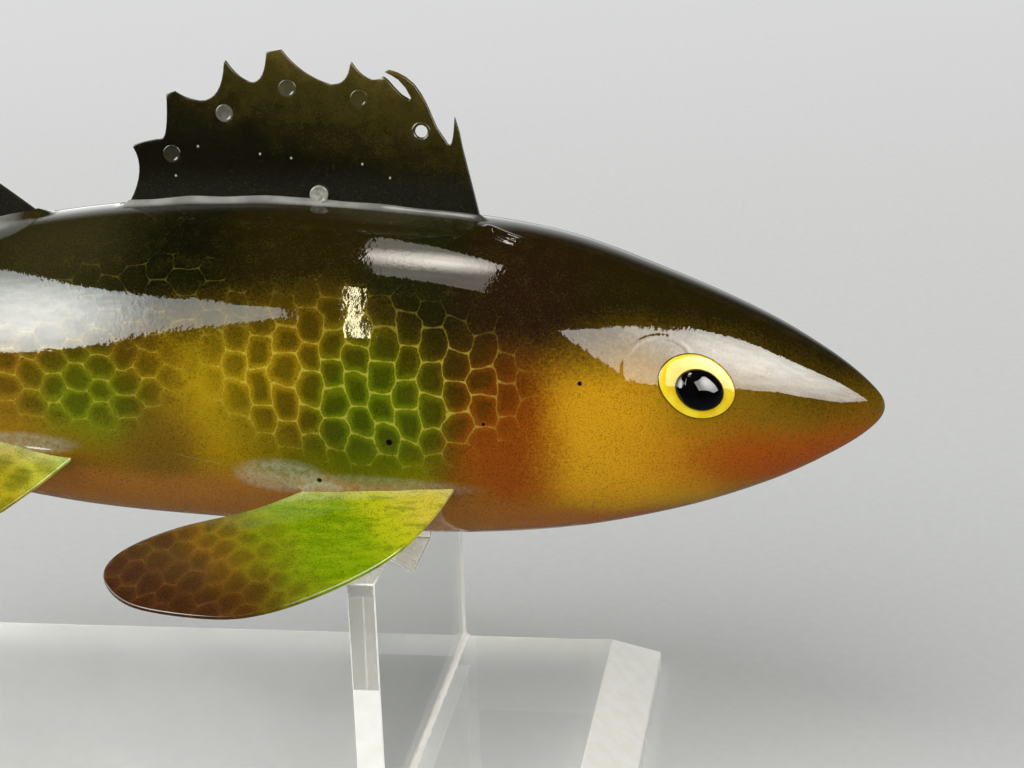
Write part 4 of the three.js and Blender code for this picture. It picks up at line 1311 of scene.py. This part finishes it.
# The belly's gloss mirrors the light tent, and not the slab.
base_slab().visible_glossy = False
print("base slab made")

# %% Uprights, with the finish of each edge from the foot round to the rear
NOTCH_DEPTH = 11.5
NOTCH_FLOOR = 16
NOTCH_SLOPE = 0.54
FLAMED_FROM = 36.6
EDGE_FINISHES = [SAWN, SAWN, FLAMED, CUT, CUT, CUT, FLAMED, FLAMED, SAWN]


def upright(word):
    """A plate with a wide notch, whose slopes rise from the notch's floor to the plate's top."""
    low, high = (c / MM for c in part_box("stand_upright_" + word))
    top_y = NOTCH_FLOOR / 2 + NOTCH_DEPTH / NOTCH_SLOPE
    floor_z = high.z - NOTCH_DEPTH
    outline = [(low.y, low.z), (high.y, low.z), (high.y, high.z), (top_y, high.z), (NOTCH_FLOOR / 2, floor_z),
               (-NOTCH_FLOOR / 2, floor_z), (-top_y, high.z), (low.y, high.z), (low.y, FLAMED_FROM)]
    count = len(outline)
    points = [(x, y, z) for x in (low.x, high.x) for y, z in outline]
    faces = [(tuple(range(count)), POLISHED), (tuple(reversed(range(count, 2 * count))), POLISHED)]
    for i, finish in enumerate(EDGE_FINISHES):
        j = (i + 1) % count
        faces.append(((i, j, count + j, count + i), finish))
    plate_piece("clear_upright_" + word, points, faces, "stand_upright_" + word, 0.22)


# %% Cement beads
CEMENT_STEPS = 120


def cement_bead(word, side):
    """Solvent cement squeezed out along an upright's foot, on its outer face."""
    low, high = (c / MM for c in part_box("stand_upright_" + word))
    foot_x = high.x if side > 0 else low.x
    mesh = bmesh.new()
    rings = []
    for k in range(CEMENT_STEPS + 1):
        y = low.y + (high.y - low.y) * k / CEMENT_STEPS
        wide = 0.55 + 0.22 * noise.noise(Vector((y / 2.5, side * 3.0, 1.0)))
        profile = [(-0.2, -0.2), (wide, -0.2), (wide, 0.05), (0.4 * wide, 0.35 * wide), (0.05, wide),
                   (-0.2, wide)]
        rings.append([mesh.verts.new(Vector((foot_x + side * a, y, low.z + b)) * MM) for a, b in profile])
    bridge(mesh, rings)
    mesh.faces.new(rings[0])
    mesh.faces.new(rings[-1])
    piece_from(finish_mesh(mesh, {}), "cement_bead_" + word, [cement], "clear_acrylic")


for word, side in (("head", 1), ("tail", -1)):
    upright(word)
    cement_bead(word, side)
print("uprights and their cement made")

# %% [markdown]
# ## Floor, lights and reflections
# The fish was photographed on seamless grey paper in a light tent: a bright wall on each side, a lamp panel
# overhead and a slit of warm light by the lens. A glossy fish shows each of them as a shape. Big soft
# sources light the paint, and separate cards, seen only in gloss, draw the shapes. A small card behind the
# slab is what the head plate's polished face mirrors at a grazing angle.


# %% Seamless paper
def paper_material():
    """Uncoated paper: matt, with a fine tooth, and paler far off, where more of the lamp reaches it."""
    material, tree, shader = new_material("seamless_paper", Roughness=0.9, Specular_IOR_Level=0.2)
    solid = solid_place(tree)
    away = add(tree, "MapRange", {}, add(tree, "SeparateXYZ", {}, solid).node.outputs[1], 150, 1100)
    colour = add(tree, "Mix", COLOURS, away, linear("#cacbca"), linear("#f0f0f2"))
    tooth = add(tree, "TexNoise", {}, Vector=solid, Scale=1 / 2.2, Detail=4.0)
    fill(shader, Base_Color=coats(tree, colour, ("#808283", tooth, 0.3, 0.7, 0.05)))
    return material


def stage_sheet(name, corners, material):
    mesh = bmesh.new()
    mesh.faces.new([mesh.verts.new(c) for c in corners])
    data = bpy.data.meshes.new(name)
    mesh.to_mesh(data)
    mesh.free()
    data.materials.append(material)
    made = bpy.data.objects.new(name, data)
    bpy.context.scene.collection.objects.link(made)
    return made


FLOOR_REACH = 6.0
FLOOR_LEVEL = -0.0004
FLOOR_CORNERS = [(-FLOOR_REACH, -FLOOR_REACH, FLOOR_LEVEL), (FLOOR_REACH, -FLOOR_REACH, FLOOR_LEVEL),
                 (FLOOR_REACH, FLOOR_REACH, FLOOR_LEVEL), (-FLOOR_REACH, FLOOR_REACH, FLOOR_LEVEL)]
floor = stage_sheet("paper_floor", FLOOR_CORNERS, paper_material())
floor.visible_glossy = False
print("floor", 2 * FLOOR_REACH, "m wide")


# %% Reflection cards
def glow_material(name, code, strength, hot=None):
    """Lit tent cloth, uneven by its folds. A hot spot, as place, radii and gain, shows where its lamp is."""
    material = bpy.data.materials.new(name)
    material.use_nodes = True
    material.cycles.emission_sampling = "NONE"
    tree = material.node_tree
    tree.nodes.clear()
    spot = add(tree, "TexCoord", {}).node.outputs["Object"]
    level = strength
    if hot:
        place, radii, gain = hot
        offset = add(tree, "VectorMath", MINUS, spot, place)
        reach = add(tree, "VectorMath", LENGTH, add(tree, "VectorMath", OVER, offset, radii))
        level = add(tree, "MapRange", SOFTLY, reach, 0.0, 1.0, strength * gain, strength)
    folds = add(tree, "TexNoise", {}, Vector=spot, Scale=9.0, Detail=3.0)
    level = add(tree, "Math", TIMES, level, add(tree, "MapRange", {}, folds, 0.3, 0.7, 0.84, 1.16))
    add(tree, "OutputMaterial", {}, add(tree, "Emission", {}, linear(code), level))
    return material


def card(name, corners, code, strength, hot=None):
    """A lit sheet that only gloss sees."""
    made = stage_sheet(name, corners, glow_material(name, code, strength, hot))
    made.visible_camera = False
    made.visible_diffuse = False
    made.visible_transmission = False
    made.visible_shadow = False


# %% Place the cards, in metres
LEFT_EDGE = [(0.3, 1.28), (-0.35, 1.285), (-0.9, 1.37), (-1.5, 1.52), (-1.95, 1.64), (-2.2, 1.83),
             (-2.6, 1.9), (-3.75, 2.62), (-3.95, 2.2), (-3.1, 1.46), (-2.6, 1.02), (-2.23, 0.7),
             (-1.87, 0.34), (-1.58, 0.2), (-1.25, 0.113), (0.3, 0.1)]
RIGHT_EDGE = [(-0.22, 0.15), (-0.28, 0.82), (-0.28, 1.21), (-0.5, 1.46), (-0.97, 1.45), (-1.53, 1.52),
              (-2.74, 2.0), (-2.47, 1.38), (-2.23, 0.8), (-2.05, 0.215), (-1.26, 0.228), (-0.95, 0.188),
              (-0.61, 0.03)]
LEFT_WALL_X, RIGHT_WALL_X = -0.9, 1.0
card("left_wall", [(LEFT_WALL_X, y, z) for y, z in LEFT_EDGE], "#f9fffc", 4.2,
     ((LEFT_WALL_X, -1.2, 0.72), (1.2, 1.2, 1.2), 4.25))
card("right_wall", [(RIGHT_WALL_X, y, z) for y, z in RIGHT_EDGE], "#fffcf4", 6.0,
     ((RIGHT_WALL_X, -0.7, 0.83), (1.0, 1.0, 1.0), 2.95))
card("lamp_panel", [(-0.03, 0.251, 1.0), (0.155, -0.065, 1.0), (0.138, -0.588, 1.0), (-0.026, -0.425, 1.0)],
     "#fff6ea", 2.4, ((0.05, -0.12, 1.0), (0.16, 0.2, 0.2), 7.5))
card("warm_slit", [(-0.083, -0.743, 1.048), (-0.067, -0.733, 1.058), (-0.099, -1.148, 0.48),
                   (-0.117, -1.149, 0.47)], "#fff6c8", 26.0)
GLOW_NEAR, GLOW_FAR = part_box("stand_upright_head")[1].x + 0.0001, 0.074
GLOW_Y, GLOW_TOP = 0.052, 0.05
card("plate_glow", [(GLOW_NEAR, GLOW_Y, 0.0), (GLOW_FAR, GLOW_Y, 0.0), (GLOW_FAR, GLOW_Y, GLOW_TOP),
                    (GLOW_NEAR, GLOW_Y, GLOW_TOP)], "#f2f2ee", 0.34)
FAR_Y, FAR_LEVEL = 2.6, -0.0002
card("far_wall", [(-5, FAR_Y, 0.0), (5, FAR_Y, 0.0), (5, FAR_Y, 2.4), (-5, FAR_Y, 2.4)], "#e6e8e6", 0.04,
     ((-1.6, FAR_Y, 0.0), (3.2, 1, 2.4), 72.0))
card("far_floor", [(-5, -0.3, FAR_LEVEL), (5, -0.3, FAR_LEVEL), (5, FAR_Y, FAR_LEVEL), (-5, FAR_Y, FAR_LEVEL)],
     "#e6e8e6", 0.01, ((0.0, 0.8, 0.0), (40, 1.1, 1), 60.0))
print("materials", len(bpy.data.materials))


# %% Soft lights, as place, aim, size and watts
def soft_light(name, place, aim, size, power):
    data = bpy.data.lights.new(name, "AREA")
    data.shape = "RECTANGLE"
    data.size, data.size_y = size
    data.energy = power
    data.color = linear("#fffefc")[:3]
    made = bpy.data.objects.new(name, data)
    made.location = place
    made.rotation_euler = (Vector(aim) - Vector(place)).to_track_quat("-Z", "Y").to_euler()
    made.visible_glossy = False
    made.visible_camera = False
    bpy.context.scene.collection.objects.link(made)


soft_light("high_front", (-0.9, -1.9, 2.4), (0, 0, 0.05), (2.8, 2.3), 56.0)
soft_light("from_left", (-2.6, -1.0, 1.5), (-0.2, 0, 0.05), (2.0, 1.6), 42.0)
soft_light("from_right", (2.8, -0.8, 0.9), (0, 0, 0.05), (2.0, 1.2), 33.0)

world = bpy.data.worlds.new("pale_room")
world.use_nodes = True
bpy.context.scene.world = world
fill(world.node_tree.nodes["Background"], Color=linear("#e0e2e0"), Strength=0.6)
world.cycles_visibility.glossy = False
bpy.context.scene.view_settings.view_transform = "Standard"
bpy.context.scene.view_settings.look = "None"
print("lights", len(bpy.data.lights))
